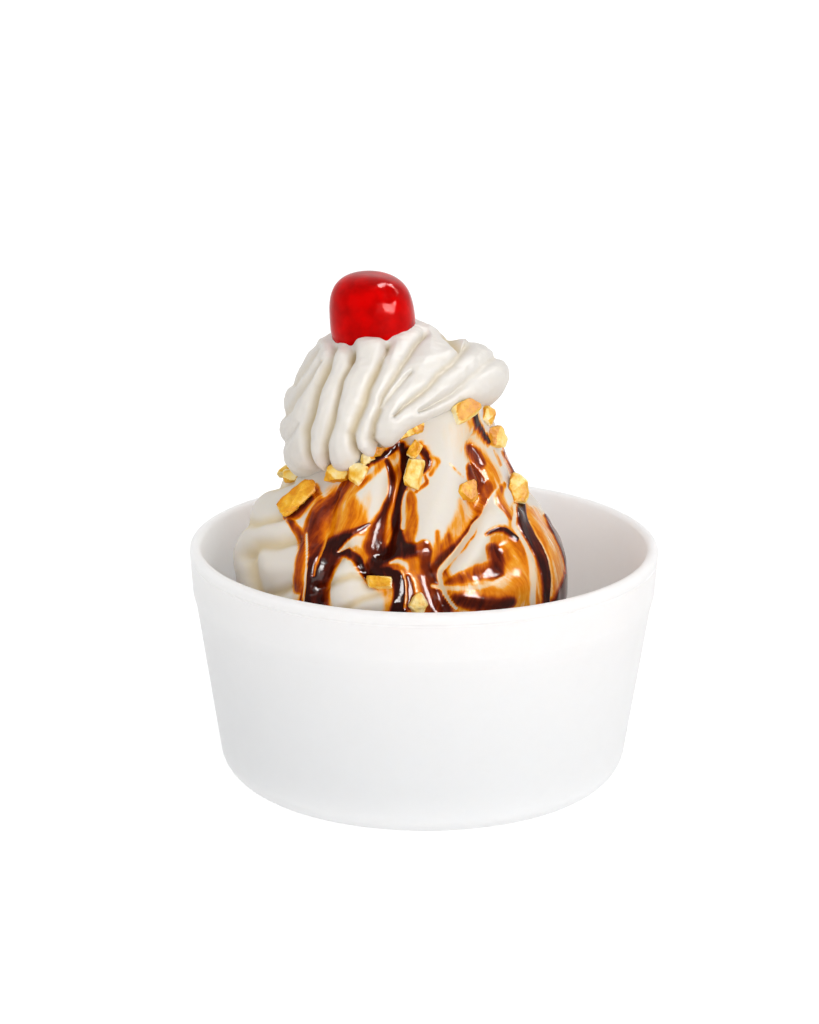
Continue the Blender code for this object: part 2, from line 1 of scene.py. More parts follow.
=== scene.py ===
# %% [markdown]
# A soft serve sundae in a foam bowl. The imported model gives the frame: a bowl, the soft serve with
# its nuts, the whipped cream and the cherry. Each gets a finer surface here, worked out from the
# same named sizes, so that the fine one lies where the solid one does.

import math
import random

import bpy
import numpy as np
from mathutils import Matrix, Vector


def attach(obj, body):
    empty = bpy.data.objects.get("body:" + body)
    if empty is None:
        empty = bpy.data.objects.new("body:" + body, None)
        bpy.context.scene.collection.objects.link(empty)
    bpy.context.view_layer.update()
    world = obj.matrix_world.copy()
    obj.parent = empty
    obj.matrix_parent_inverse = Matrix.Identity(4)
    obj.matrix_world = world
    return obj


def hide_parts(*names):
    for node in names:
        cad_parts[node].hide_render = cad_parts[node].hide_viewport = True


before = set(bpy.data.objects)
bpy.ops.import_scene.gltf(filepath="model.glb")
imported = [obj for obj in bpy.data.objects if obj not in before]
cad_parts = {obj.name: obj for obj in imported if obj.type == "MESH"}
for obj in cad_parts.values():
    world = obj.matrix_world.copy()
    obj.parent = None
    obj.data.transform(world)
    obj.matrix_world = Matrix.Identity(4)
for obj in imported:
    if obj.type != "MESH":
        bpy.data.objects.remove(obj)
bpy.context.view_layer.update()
print("nodes of the CAD:", list(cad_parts))

# %% [markdown]
# The camera stands where the photo's stood: 0.8 m away and 18 degrees above the middle of the
# sundae, with a long lens. It is found by matching the bowl's outline. Shifting the lens could
# frame the picture too, but turning the camera a little keeps every other view simple.

# %% The camera
MM = 0.001
VIEW_DISTANCE = 800.0
VIEW_RISE = math.radians(18.35)
VIEW_TARGET = np.array([0.0, 0.0, 40.0])
VIEW_UNITS = 3265.0
VIEW_ROLL = math.radians(0.41)
VIEW_MIDDLE = (423.5, 611.3)
TOWARD_EYE = np.array([0.0, -math.cos(VIEW_RISE), math.sin(VIEW_RISE)])
VIEW_UP = np.array([0.0, math.sin(VIEW_RISE), math.cos(VIEW_RISE)])
PICTURE = (819, 1024)
SENSOR = 36.0
NEAREST_SEEN = 0.01


def add_camera():
    """Aim at the target, roll, then turn until the target stands where the picture shows it."""
    eye = Vector(VIEW_TARGET + VIEW_DISTANCE * TOWARD_EYE)
    aim = Matrix((Vector((1.0, 0.0, 0.0)), Vector(VIEW_UP), Vector(TOWARD_EYE))).transposed()
    left = math.atan2(VIEW_MIDDLE[0] - PICTURE[0] / 2, VIEW_UNITS)
    rise = math.atan2(VIEW_MIDDLE[1] - PICTURE[1] / 2, VIEW_UNITS)
    aim = aim @ Matrix.Rotation(VIEW_ROLL, 3, "Z") @ Matrix.Rotation(left, 3, "Y")
    aim = aim @ Matrix.Rotation(rise, 3, "X")
    lens = bpy.data.cameras.new("camera")
    lens.sensor_fit = "AUTO"
    lens.sensor_width = SENSOR
    lens.lens = VIEW_UNITS * SENSOR / PICTURE[1]
    lens.clip_start = NEAREST_SEEN
    camera = bpy.data.objects.new("camera", lens)
    camera.matrix_world = Matrix.Translation(eye * MM) @ aim.to_4x4()
    bpy.context.scene.collection.objects.link(camera)
    bpy.context.scene.camera = camera
    return camera


camera = add_camera()
print("camera at", [round(v, 3) for v in camera.matrix_world.translation])
print("lens in mm:", round(camera.data.lens, 1))

# %% [markdown]
# Soft food has no straight edges, so its shapes are formulas over whole numpy arrays: steps with
# soft ends, curves through chosen points, and random waves.

# %% Helpers for formulas
WAVE_COUNT = 9
WAVE_SIZES = (0.7, 1.5)


def smooth_step(low, high, value):
    """Rise from 0 at low to 1 at high along a curve with flat ends."""
    t = np.clip((value - low) / (high - low), 0.0, 1.0)
    return t * t * (3.0 - 2.0 * t)


def through(knots, where):
    """Catmull and Rom's cubic through the knots, where 0 is the first knot and 1 the last."""
    knots = np.array(knots, dtype=float)
    padded = np.vstack([2 * knots[0] - knots[1], knots, 2 * knots[-1] - knots[-2]])
    place = np.clip(where, 0.0, 1.0) * (len(knots) - 1)
    index = np.minimum(place.astype(int), len(knots) - 2)
    t = (place - index)[..., None]
    a, b, c, d = (padded[index + k] for k in range(4))
    return 0.5 * (2 * b + (c - a) * t + (2 * a - 5 * b + 4 * c - d) * t ** 2
                  + (3 * b - a - 3 * c + d) * t ** 3)


def waves(points, size, seed):
    """A smooth random field: the mean of sine waves of about one size in random directions."""
    rng = np.random.default_rng(seed)
    total = np.zeros(points.shape[:-1])
    for _ in range(WAVE_COUNT):
        way = rng.normal(size=3)
        way = way / np.linalg.norm(way) * 2.0 * math.pi / (size * rng.uniform(*WAVE_SIZES))
        total += np.sin(points @ way + rng.uniform(0.0, 2.0 * math.pi))
    return total / math.sqrt(WAVE_COUNT)


# %% [markdown]
# Every piece is a grid of points, with rows from the bottom pole up and columns around. A Screw
# modifier could turn an outline too, but a grid can also hold values for the materials to read.

# %% Helpers for meshes


def grid_normals(points):
    """The cross product of the steps around and up the grid, made one long."""
    around = np.roll(points, -1, axis=1) - np.roll(points, 1, axis=1)
    upward = np.gradient(points, axis=0)
    normal = np.cross(around, upward)
    normal = normal / np.maximum(np.linalg.norm(normal, axis=2, keepdims=True), 1e-9)
    normal[0] = (0.0, 0.0, -1.0)
    normal[-1] = (0.0, 0.0, 1.0)
    return normal


def directions(bearing, tilt):
    """Unit vectors by bearing around and tilt above the level."""
    flat = np.cos(tilt)
    return np.stack([flat * np.cos(bearing), flat * np.sin(bearing), np.sin(tilt)], axis=-1)


def poled(grid):
    """One entry for each pole and one for each point between, as the mesh counts them."""
    return np.concatenate([grid[0, :1], grid[1:-1].reshape(-1, *grid.shape[2:]), grid[-1, :1]])


def grid_faces(rows, around, first=0):
    """Quads between the rows of a poled grid and a fan at each pole, from one point's number on."""
    column = np.arange(around)
    after = (column + 1) % around
    low = first + 1 + np.arange(rows - 3)[:, None] * around
    quads = [low + column, low + after, low + around + after, low + around + column]
    top = first + 1 + (rows - 3) * around
    fans = [(first, first + 1 + b, first + 1 + a) for a, b in zip(column, after)]
    fans += [(top + a, top + b, top + around) for a, b in zip(column, after)]
    return np.stack(quads, axis=-1).reshape(-1, 4).tolist() + fans


def add_piece(name, points, faces, values):
    """Make a smooth mesh of points in mm, which holds each named value per point, and show it."""
    mesh = bpy.data.meshes.new(name)
    mesh.from_pydata((points * MM).tolist(), [], faces)
    for key, value in values.items():
        kind, field = ("FLOAT", "value") if value.ndim == 1 else ("FLOAT_VECTOR", "vector")
        held = mesh.attributes.new(key, kind, "POINT")
        held.data.foreach_set(field, value.astype(np.float32).ravel())
    mesh.shade_smooth()
    piece = bpy.data.objects.new(name, mesh)
    bpy.context.scene.collection.objects.link(piece)
    print(name, "has", len(mesh.vertices), "points and", len(mesh.polygons), "faces")
    return piece


def grid_piece(name, points, **values):
    """A piece from one grid of points, with each value given as a grid too."""
    values = {key: poled(value) for key, value in values.items()}
    return add_piece(name, poled(points), grid_faces(*points.shape[:2]), values)


# %% [markdown]
# Where something lies on the front of the food is read off the photo, so paths are written as
# (across, down) in the picture's 819 by 1024 frame, where one step is 0.245 mm at the sundae. A
# point of a surface is put through the camera's own formula to compare it with such a path.

# %% Places in the front view


def front_view(points):
    """Where points stand in the picture: sideways and up over depth, rolled, times the lens."""
    seen = points - (VIEW_TARGET + VIEW_DISTANCE * TOWARD_EYE)
    depth = -(seen @ TOWARD_EYE)
    across = VIEW_UNITS * seen[..., 0] / depth
    down = -VIEW_UNITS * (seen @ VIEW_UP) / depth
    turn, lean = math.cos(VIEW_ROLL), math.sin(VIEW_ROLL)
    x, y = VIEW_MIDDLE
    return x + across * turn - down * lean, y + across * lean + down * turn


def reach(across, down, path):
    """The least distance from each place to a path's runs, as a share of its half width there."""
    best = np.full(across.shape, 1e9)
    for (x0, y0, wide), (x1, y1, narrow) in zip(path[:-1], path[1:]):
        run, fall = x1 - x0, y1 - y0
        t = np.clip(((across - x0) * run + (down - y0) * fall) / (run * run + fall * fall), 0, 1)
        away = np.hypot(across - x0 - t * run, down - y0 - t * fall)
        best = np.minimum(best, away / (wide + (narrow - wide) * t))
    return best


print("the target stands at", [round(float(v), 1) for v in front_view(VIEW_TARGET)])

# %% [markdown]
# The soft serve is a heap of soft ropes of frozen cream that sag into folds. Sculpting would be the
# usual way, but a formula can be tuned against the photo. It starts as on a potter's wheel: a
# bulging profile goes round a middle that leans, and slanting flutes mark its sides and back, as a
# star nozzle leaves them.

# %% The soft serve's profile and flutes
SERVE_PROFILE = [
    (3.35, 0.0, -5.3), (3.35, 29.0, -5.3), (4.6, 34.5, -5.3), (9.0, 37.0, -5.3), (20.0, 38.6, -5.3),
    (32.0, 39.2, -5.3), (42.0, 39.6, -5.3), (48.0, 39.7, -5.3), (52.9, 39.4, -5.5), (57.9, 37.9, -5.8),
    (62.8, 35.5, -6.3), (67.2, 32.4, -6.5), (70.6, 29.5, -5.9), (74.5, 26.2, -4.9), (79.4, 23.4, -4.2),
    (85.2, 21.4, -4.5), (91.0, 19.6, -4.1), (95.3, 16.2, -3.9), (98.2, 9.4, -3.9), (99.6, 0.0, -3.9),
]
FLUTE_SPACING = 9.3
FLUTE_TURNS = 9.0
FLUTE_DEPTH = 2.4
FLUTE_LEVEL = 54.6
FLUTE_BEARING = 182.0
FLUTE_ROUND = 0.7
FLUTE_MEAN = 0.40
SIDE_BEGINS = (-5.0, 25.0)
SIDE_ENDS = (150.0, 184.0)


def flutes(degrees, level):
    """Round ropes between sharp grooves, which climb as they go round, on the sides and back."""
    side = smooth_step(*SIDE_BEGINS, degrees) * (1.0 - smooth_step(*SIDE_ENDS, degrees))
    phase = (level - FLUTE_LEVEL) / FLUTE_SPACING - FLUTE_TURNS * (degrees - FLUTE_BEARING) / 360.0
    rope = np.abs(np.sin(math.pi * phase)) ** FLUTE_ROUND
    return FLUTE_DEPTH * (rope - FLUTE_MEAN) * side


print("the soft serve is", SERVE_PROFILE[-1][0], "mm high")

# %% [markdown]
# In front the ropes have slumped into lobes with creases between them. Each is a path in the
# picture's frame, with a height or, for a crease, a depth, and it falls off on both sides as a bell
# does. The creases are kept as a value too, so that the material can paint shade into them.

# %% The soft serve's folds in front
FOLDS = [
    # height in mm, then the path as (across, down, half width)
    (3.0, (455, 410, 22), (447, 450, 22), (440, 492, 22), (432, 522, 21), (424, 550, 18)),
    (-2.0, (399, 438, 8), (398, 480, 9), (392, 520, 10), (384, 550, 10)),
    (-2.0, (470, 440, 7), (484, 480, 8), (474, 512, 9), (456, 542, 10), (436, 572, 10), (446, 604, 8)),
    (1.8, (492, 520, 17), (478, 548, 17), (470, 575, 15)),
    (2.0, (520, 520, 20), (538, 555, 20), (540, 600, 18)),
    (-1.8, (494, 548, 9), (490, 565, 11), (472, 574, 8)),
    (1.6, (455, 592, 12), (490, 596, 13), (515, 588, 12)),
    (-1.0, (517, 500, 5), (524, 530, 6), (538, 570, 6), (540, 604, 6)),
    (2.6, (380, 475, 17), (362, 505, 20), (350, 528, 16)),
    (1.4, (322, 500, 10), (314, 545, 12), (310, 598, 12)),
    (-1.2, (337, 498, 6), (328, 530, 7), (322, 545, 7)),
    (2.6, (348, 582, 19), (347, 592, 19)),
    (-1.8, (323, 596, 7), (329, 564, 7), (346, 550, 6), (362, 562, 6), (372, 582, 7)),
    (2.4, (340, 606, 13), (385, 604, 14)),
    (-1.3, (325, 589, 4), (338, 581, 4), (353, 576, 4), (368, 578, 4)),
    (-0.9, (346, 608, 4), (366, 598, 4), (390, 591, 4)),
    (1.6, (410, 556, 12), (400, 575, 13), (398, 600, 13)),
    (1.5, (264, 513, 20), (284, 506, 18), (300, 499, 13)),
    (1.9, (240, 552, 15), (254, 543, 14), (274, 534, 11), (294, 530, 8)),
    (1.0, (243, 572, 11), (250, 590, 12)),
    (2.0, (274, 568, 15), (296, 568, 16)),
    (-0.9, (236, 529, 5), (262, 525, 5), (286, 519, 4)),
    (-1.5, (252, 556, 5), (262, 549, 5), (276, 546, 5), (299, 542, 4)),
    (-1.0, (255, 560, 5), (256, 576, 6), (260, 594, 5)),
    (-1.2, (262, 597, 5), (276, 593, 5), (290, 589, 4)),
    (-0.8, (258, 490, 6), (276, 487, 5), (292, 484, 4)),
    (1.0, (288, 602, 8), (302, 602, 8)),
]
FOLD_WANDER = 1.5
FOLD_WAVES = 11.0


def folded(relief, base, front):
    """The relief plus each fold's bell of the distance to its path, and the deepest crease."""
    across, down = front_view(base)
    across = across + FOLD_WANDER * waves(base, FOLD_WAVES, seed=3)
    down = down + FOLD_WANDER * waves(base, FOLD_WAVES, seed=4)
    crease = np.zeros(front.shape)
    for height, *path in FOLDS:
        bell = front * np.exp(-reach(across, down, path) ** 2)
        relief = relief + height * bell
        # the deepest crease is kept so that the material can paint shade into it
        crease = np.maximum(crease, bell * (height < 0.0))
    return relief, crease


print(len(FOLDS), "folds and creases")

# %% [markdown]
# The chocolate syrup is thick and near black where it pools, brown at its edges and amber where
# only a film is left. So it is kept as one number, its thickness, and the material turns that into
# colour. It is painted in order, like the real streams: each stroke is laid over those before it,
# with its own thickness and soft edge. A stroke of nearly none is a ribbon of clean cream on top;
# a few thin pale lines along the glossy streams are painted highlights.

# %% The syrup's strokes in front
STROKES = [
    # thickness, softness of the edge, then the path as (across, down, half width)
    # films and amber stains
    (0.36, 0.5, (340, 500, 14), (331, 540, 22), (320, 602, 22)),
    (0.42, 0.5, (396, 480, 14), (384, 520, 24), (384, 560, 32), (396, 604, 30)),
    (0.42, 0.5, (474, 500, 6), (452, 545, 16), (436, 575, 20), (440, 604, 22)),
    (0.34, 0.5, (520, 512, 10), (536, 550, 24), (544, 604, 26)),
    # clean cream between them
    (0.02, 0.35, (436, 430, 14), (440, 470, 20), (440, 505, 20), (430, 536, 13)),
    (0.02, 0.5, (384, 468, 8), (381, 488, 12), (377, 510, 11), (371, 534, 6)),
    (0.01, 0.3, (348, 574, 18), (346, 592, 22), (368, 604, 18)),
    (0.01, 0.3, (503, 500, 7), (494, 520, 13), (478, 548, 15), (458, 568, 10)),
    (0.07, 1.0, (462, 430, 12), (478, 452, 16), (494, 470, 8)),
    (0.34, 0.9, (364, 468, 3), (347, 490, 6), (337, 508, 10), (335, 528, 11)),
    (0.38, 0.9, (352, 503, 6), (353, 518, 10), (352, 530, 12)),
    (0.42, 0.6, (315, 486, 3), (319, 500, 4), (313, 516, 5), (308, 536, 4)),
    (0.30, 0.8, (378, 462, 5), (390, 452, 8), (402, 448, 6)),
    (0.36, 0.7, (384, 463, 3), (362, 484, 3), (343, 497, 4), (332, 512, 4)),
    (0.50, 0.4, (411, 495, 4), (412, 520, 6), (409, 544, 6)),
    (0.36, 0.6, (409, 560, 5), (416, 568, 8), (416, 577, 7)),
    # the stream from the broken nut at the left
    (0.80, 0.6, (286, 517, 2), (296, 512, 4), (311, 498, 3)),
    (0.70, 0.7, (290, 521, 2), (303, 541, 3), (299, 565, 3), (298, 590, 3)),
    # the wide dark stream at the left
    (0.72, 0.7, (352, 474, 3), (341, 492, 4), (329, 507, 7), (317, 525, 9), (312, 545, 8)),
    (0.78, 0.8, (369, 524, 1), (354, 532, 3), (342, 539, 6), (330, 550, 9)),
    (0.99, 0.45, (352, 536, 2), (338, 544, 7), (326, 556, 11), (319, 570, 12), (316, 588, 11),
     (313, 606, 13)),
    # a thin white line along the stream's ridge: a painted highlight
    (0.02, 0.5, (307, 534, 1.1), (307, 560, 1.3), (305, 580, 1.3), (304, 602, 1.2)),
    (0.30, 0.8, (328, 534, 1.2), (321, 555, 1.2), (313, 576, 1.0)),
    # the arch round the clean lobe, and the pale swirl above it
    (0.97, 0.5, (325, 580, 4), (332, 561, 5), (341, 552, 4), (350, 554, 4), (361, 564, 4), (369, 579, 3)),
    (0.05, 0.4, (340, 552, 1.2), (351, 543, 4), (361, 541, 6), (367, 554, 6), (370, 573, 2)),
    (0.30, 0.9, (354, 550, 1.5), (361, 551, 2.5), (366, 562, 2)),
    # the crumbs' dark bed under the cream: syrup, painted near black along the cream's edge as the shadow
    # there
    (0.97, 0.5, (361, 466, 5), (369, 459, 6), (384, 455, 3), (399, 445, 3)),
    # the double stream in the middle
    (0.86, 0.6, (387, 461, 2), (392, 474, 3), (393, 488, 3.5), (390, 502, 4), (385, 517, 6), (378, 532, 8),
     (375, 548, 9)),
    (1.02, 0.35, (401, 444, 3), (406, 456, 5), (404, 480, 4), (401, 496, 4), (397, 510, 4.5),
     (396, 528, 6), (398, 546, 8)),
    (0.36, 0.8, (399, 462, 1.2), (398, 484, 2), (394, 500, 2), (390, 516, 2.4), (388, 540, 3)),
    (0.05, 0.7, (407, 492, 1.5), (403, 507, 2.2), (403, 528, 2)),
    (0.86, 0.5, (420, 448, 3), (427, 457, 3.5), (425, 467, 3), (419, 474, 2)),
    (0.30, 0.9, (431, 456, 1.5), (438, 462, 2), (431, 474, 2)),
    (0.50, 0.7, (425, 476, 1.2), (427, 483, 1.6), (416, 492, 1.4)),
    # the pool across the middle, and what runs from it
    (0.92, 0.6, (370, 574, 5), (376, 563, 8), (388, 555, 8), (404, 551, 7), (416, 550, 6), (427, 554, 5)),
    (1.0, 0.5, (376, 562, 4), (390, 553, 5), (404, 548, 4), (414, 548, 2)),
    (0.98, 0.4, (374, 574, 6), (388, 572, 5)),
    (0.70, 0.4, (423, 548, 7), (427, 562, 8), (428, 580, 9), (434, 599, 10), (440, 612, 10)),
    (0.04, 0.7, (390, 563, 1.5), (398, 561, 3), (406, 565, 3), (408, 570, 1)),
    (0.34, 0.8, (388, 590, 3), (394, 597, 4), (390, 606, 5)),
    (1.05, 0.3, (391, 573, 3), (398, 578, 6), (401, 592, 7), (399, 612, 8)),
    (0.84, 0.5, (407, 578, 3), (411, 590, 3.5), (408, 606, 4)),
    (0.12, 0.7, (402, 571, 0.9), (406, 586, 1.1), (405, 608, 1.0)),
    (0.14, 0.8, (437, 538, 0.9), (431, 566, 1.1), (432, 586, 0.9)),
    # the stream right of the middle
    (0.36, 0.7, (470, 449, 6), (482, 464, 8), (491, 477, 8), (493, 488, 5)),
    (0.74, 0.8, (469, 447, 3), (475, 455, 5), (481, 464, 4)),
    (0.76, 0.7, (471, 468, 4), (477, 480, 6), (482, 490, 5)),
    (0.55, 0.6, (488, 486, 5), (484, 500, 4.5), (478, 514, 4), (472, 527, 4)),
    (0.16, 0.6, (463, 502, 5), (464, 518, 8), (456, 532, 6)),
    (0.42, 0.8, (438, 532, 2), (436, 548, 3), (433, 560, 3)),
    (0.48, 0.8, (448, 536, 3), (441, 550, 4)),
    (0.80, 0.5, (476, 519, 2.5), (471, 530, 4), (461, 544, 5), (448, 556, 6), (438, 568, 7), (433, 580, 8),
     (438, 594, 8), (444, 606, 8)),
    # the lobe at the right: a clean wedge, and an amber ring with a dark spot
    (0.36, 0.6, (497, 539, 6), (510, 545, 9), (520, 558, 11), (522, 572, 12), (516, 588, 12),
     (504, 597, 12), (485, 594, 11), (460, 590, 9), (447, 582, 5)),
    (0.62, 0.9, (497, 570, 7), (478, 573, 6), (458, 579, 4), (446, 583, 2)),
    (0.84, 0.9, (493, 549, 5), (497, 561, 7), (496, 573, 7)),
    (0.52, 0.9, (507, 552, 4), (509, 562, 4)),
    (0.24, 0.9, (512, 566, 5), (508, 577, 4), (500, 584, 4)),
    (0.86, 0.7, (456, 599, 5), (478, 604, 7), (496, 605, 7), (510, 602, 5)),
    (0.96, 0.5, (487, 534, 1.2), (496, 530, 2), (506, 531, 2.4), (516, 539, 2)),
    # a pale streak across the glossy lobe: a painted reflection of a light
    (0.13, 0.5, (433, 586, 2), (447, 588, 2.4), (471, 588, 2.4), (488, 585, 2.2), (506, 576, 1.2)),
    # the ribbons of clean cream beside it
    (0.02, 0.3, (501, 488, 2.2), (494, 495, 3.2), (485, 514, 3.4), (475, 526, 3.4), (463, 544, 3.4),
     (451, 559, 3.2), (440, 571, 3.2), (441, 582, 2.6), (447, 598, 2.4), (456, 608, 2)),
    # the bands down the right side
    (0.45, 0.8, (504, 484, 2), (499, 497, 4), (506, 509, 3), (511, 519, 1.5)),
    (0.28, 0.6, (533, 512, 5), (548, 530, 7), (556, 548, 7), (559, 566, 7), (558, 585, 7), (552, 602, 6)),
    (0.44, 0.7, (527, 522, 3), (541, 546, 4), (549, 571, 4), (550, 603, 5)),
    (1.0, 0.4, (520, 500, 4), (521, 517, 5), (526, 532, 6), (537, 550, 6), (543, 566, 5), (546, 586, 4),
     (545, 604, 4)),
    # a thin pale line down the band: a painted highlight
    (0.16, 0.8, (529, 521, 0.9), (540, 540, 1.1), (548, 560, 1.1), (552, 580, 1.2), (550, 600, 1.1)),
    (0.06, 0.4, (515, 505, 1.8), (514, 523, 2.0), (519, 534, 2.2), (527, 548, 2.6), (531, 562, 3.0),
     (533, 578, 3.2), (533, 606, 3.0)),
    (0.94, 0.4, (544, 516, 1.0), (558, 540, 2.5), (567, 558, 4), (569, 572, 5), (566, 585, 5.5),
     (558, 602, 6)),
    (0.95, 0.5, (504, 452, 1.4), (511, 466, 2.0), (515, 478, 1.6)),
    (0.34, 0.9, (470, 424, 2.5), (479, 434, 2.5), (488, 446, 1.5)),
    (1.05, 0.5, (474, 408, 2.2), (475, 420, 2.6), (481, 431, 2.4), (488, 442, 2.0)),
    (0.62, 0.8, (489, 408, 2), (492, 420, 2)),
    (0.32, 0.8, (494, 450, 1.0), (501, 465, 1.2)),
    (0.20, 0.9, (450, 464, 0.9), (463, 477, 1.0)),
]
print(len(STROKES), "strokes of syrup in front")

# %% [markdown]
# The back isn't in the photo. It gets streams of the same kind, laid out by bearing round the
# sundae and height, because the picture's frame can't reach there.

# %% The syrup's strokes behind
STROKES_BEHIND = [
    # thickness, softness, then the path as (bearing in degrees, height in mm, half width in mm)
    (0.30, 0.7, (18, 78, 1.6), (14, 66, 2.4), (10, 54, 2.6), (9, 40, 2.4)),
    (0.98, 0.4, (20, 88, 0.9), (24, 74, 1.4), (20, 62, 1.6), (21, 50, 1.9), (20, 34, 2.2)),
    (0.36, 0.7, (40, 80, 2.0), (36, 66, 3.6), (42, 54, 3.4), (40, 40, 3.0)),
    (0.92, 0.5, (48, 88, 0.8), (44, 72, 1.2), (50, 60, 1.8), (46, 48, 1.8), (48, 34, 1.8)),
    (0.04, 0.4, (33, 76, 0.6), (30, 64, 0.8), (33, 52, 0.8), (31, 36, 0.8)),
    (0.40, 0.8, (70, 82, 1.6), (74, 68, 3.4), (69, 56, 3.6), (72, 42, 2.4)),
    (1.0, 0.4, (66, 90, 0.9), (64, 74, 1.4), (69, 63, 1.8), (64, 52, 2.4), (66, 36, 2.4)),
    (0.70, 0.6, (84, 86, 0.7), (82, 70, 1.2), (86, 58, 1.3), (84, 40, 1.4)),
    (0.36, 0.8, (104, 80, 1.6), (108, 67, 3.0), (104, 56, 3.2), (106, 42, 2.6)),
    (0.96, 0.4, (96, 88, 0.9), (100, 72, 1.5), (97, 60, 1.6), (100, 48, 2.1), (99, 34, 2.0)),
    (0.05, 0.4, (91, 74, 0.6), (93, 62, 0.7), (90, 50, 0.7), (92, 36, 0.7)),
    (0.88, 0.5, (122, 86, 0.7), (118, 72, 1.2), (122, 62, 1.4), (119, 50, 1.8), (121, 36, 1.8)),
    (0.34, 0.8, (136, 78, 1.6), (140, 66, 2.8), (136, 56, 2.4)),
    (0.80, 0.6, (144, 84, 0.7), (147, 72, 1.1), (145, 62, 1.0), (147, 52, 0.6)),
]
print(len(STROKES_BEHIND), "strokes of syrup behind")

# %% [markdown]
# Syrup runs in curves, so a stroke's corners are joined by a smooth curve before it is laid. A thick
# stroke also stains what it runs over, so a thin amber film spreads a little way past its edge.

# %% Lay the syrup
PATH_PIECES = 3
HALO_FROM = 0.6
HALO_THICKNESS = 0.40
HALO_IN_FRONT = 4.2
HALO_BEHIND = 1.4
SIDE_DEGREE = 0.62
FRONT_WANDER = (0.5, 4.0)
BEHIND_WANDER = (0.5, 9.0)


def painted(across, down, strokes, halo):
    """Lay each stroke over those before it, by its smoothed path, with the film past thick ones."""
    level = np.zeros(across.shape)
    for thick, soft, *path in strokes:
        smooth = through(path, np.linspace(0.0, 1.0, PATH_PIECES * (len(path) - 1) + 1))
        near = reach(across, down, smooth)
        if thick > HALO_FROM:
            spread = 1.0 + halo / smooth[:, 2].mean()
            level = np.maximum(level, HALO_THICKNESS * (1.0 - smooth_step(1.0, spread, near)))
        mask = 1.0 - smooth_step(1.0 - soft, 1.0 + soft, near)
        level = level + (thick - level) * mask
    return level


def syrup_thickness(base, surface, degrees, front):
    """The front strokes by where the folded surface shows in the picture, the others by bearing."""
    across, down = front_view(surface)
    across = across + FRONT_WANDER[0] * waves(base, FRONT_WANDER[1], seed=7)
    in_front = painted(across, down, STROKES, HALO_IN_FRONT)
    turned = ((degrees + 90.0) % 360.0 - 90.0) * SIDE_DEGREE
    turned = turned + BEHIND_WANDER[0] * waves(base, BEHIND_WANDER[1], seed=5)
    strokes = [(thick, soft, *((a * SIDE_DEGREE, z, w) for a, z, w in path))
               for thick, soft, *path in STROKES_BEHIND]
    behind = painted(turned, base[..., 2], strokes, HALO_BEHIND)
    return in_front * front + behind * (1.0 - front)


# %% [markdown]
# The profile goes round, and all else moves it in or out along its own normal, less and less low
# down and under the cream. A flow value lets the material's streaks hang the way the syrup ran.

# %% The soft serve's surface
FRONT_FACING = (-0.25, 0.15)
RELIEF_BEGINS = (8.0, 30.0)
RELIEF_ENDS = (92.0, 99.0)
SYRUP_RISE = 0.45
SYRUP_RISES = (0.3, 0.95)
STREAKS_ROUND = 13.0
STREAK_LENGTH = 11.0
STREAK_WANDER = (0.5, 12.0)


def serve_surface(bearing, share):
    """A profile turned about a leaning middle, moved along its normal by flutes, folds, syrup."""
    level, radius, shift = np.moveaxis(through(SERVE_PROFILE, share), -1, 0)
    base = np.stack([shift + radius * np.cos(bearing), radius * np.sin(bearing), level], axis=-1)
    normal = grid_normals(base)
    front = smooth_step(*FRONT_FACING, normal @ TOWARD_EYE)
    degrees = np.degrees(bearing) % 360.0
    fade = smooth_step(*RELIEF_BEGINS, level) * (1.0 - smooth_step(*RELIEF_ENDS, level))
    relief, crease = folded(flutes(degrees, level), base, front)
    surface = base + normal * (relief * fade)[..., None]
    syrup = syrup_thickness(base, surface, degrees, front)
    relief = relief + SYRUP_RISE * smooth_step(*SYRUP_RISES, syrup)
    round_way = bearing * STREAKS_ROUND + STREAK_WANDER[0] * waves(base, STREAK_WANDER[1], seed=6)
    flow = np.stack([round_way, level / STREAK_LENGTH, np.zeros(level.shape)], axis=-1)
    return base + normal * (relief * fade)[..., None], syrup, flow, crease


# %% [markdown]
# The grid is finest in front, between the bowl's rim and the cream, where the thin ribbons show.
# The hidden part and the back get fewer rows and columns, which keeps it under 200,000 triangles.

# %% Build the soft serve
SERVE_COLUMNS = 510
SERVE_ROWS = 195
COLUMN_SHARES = (0.0, 0.80, 1.0)
COLUMN_BEARINGS = (-190.0, 12.0, 170.0)
ROW_SHARES = (0.0, 0.09, 0.90, 1.0)
PROFILE_SHARES = (0.0, 0.36, 0.80, 1.0)


def uneven_bearings(columns, shares, bearings):
    """Bearings of a grid's columns, closest together where many columns span few degrees."""
    return np.radians(np.interp(np.arange(columns) / columns, shares, bearings))


serve_grid = np.meshgrid(
    uneven_bearings(SERVE_COLUMNS, COLUMN_SHARES, COLUMN_BEARINGS),
    np.interp(np.linspace(0.0, 1.0, SERVE_ROWS), ROW_SHARES, PROFILE_SHARES))
serve_points, thickness, flow, crease = serve_surface(*serve_grid)
soft_serve = grid_piece("dressed_soft_serve", serve_points, syrup=thickness, flow=flow, crease=crease)
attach(soft_serve, "root")
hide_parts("soft_serve")

# %% [markdown]
# The whipped cream comes from a star nozzle that turns as it lifts: round ribs with valleys between
# them, twisted round a dome. In front each valley is a path read off the photo. Where the cherry
# was pressed in, the ribs' tips rise a little against it and the gaps between them sink.

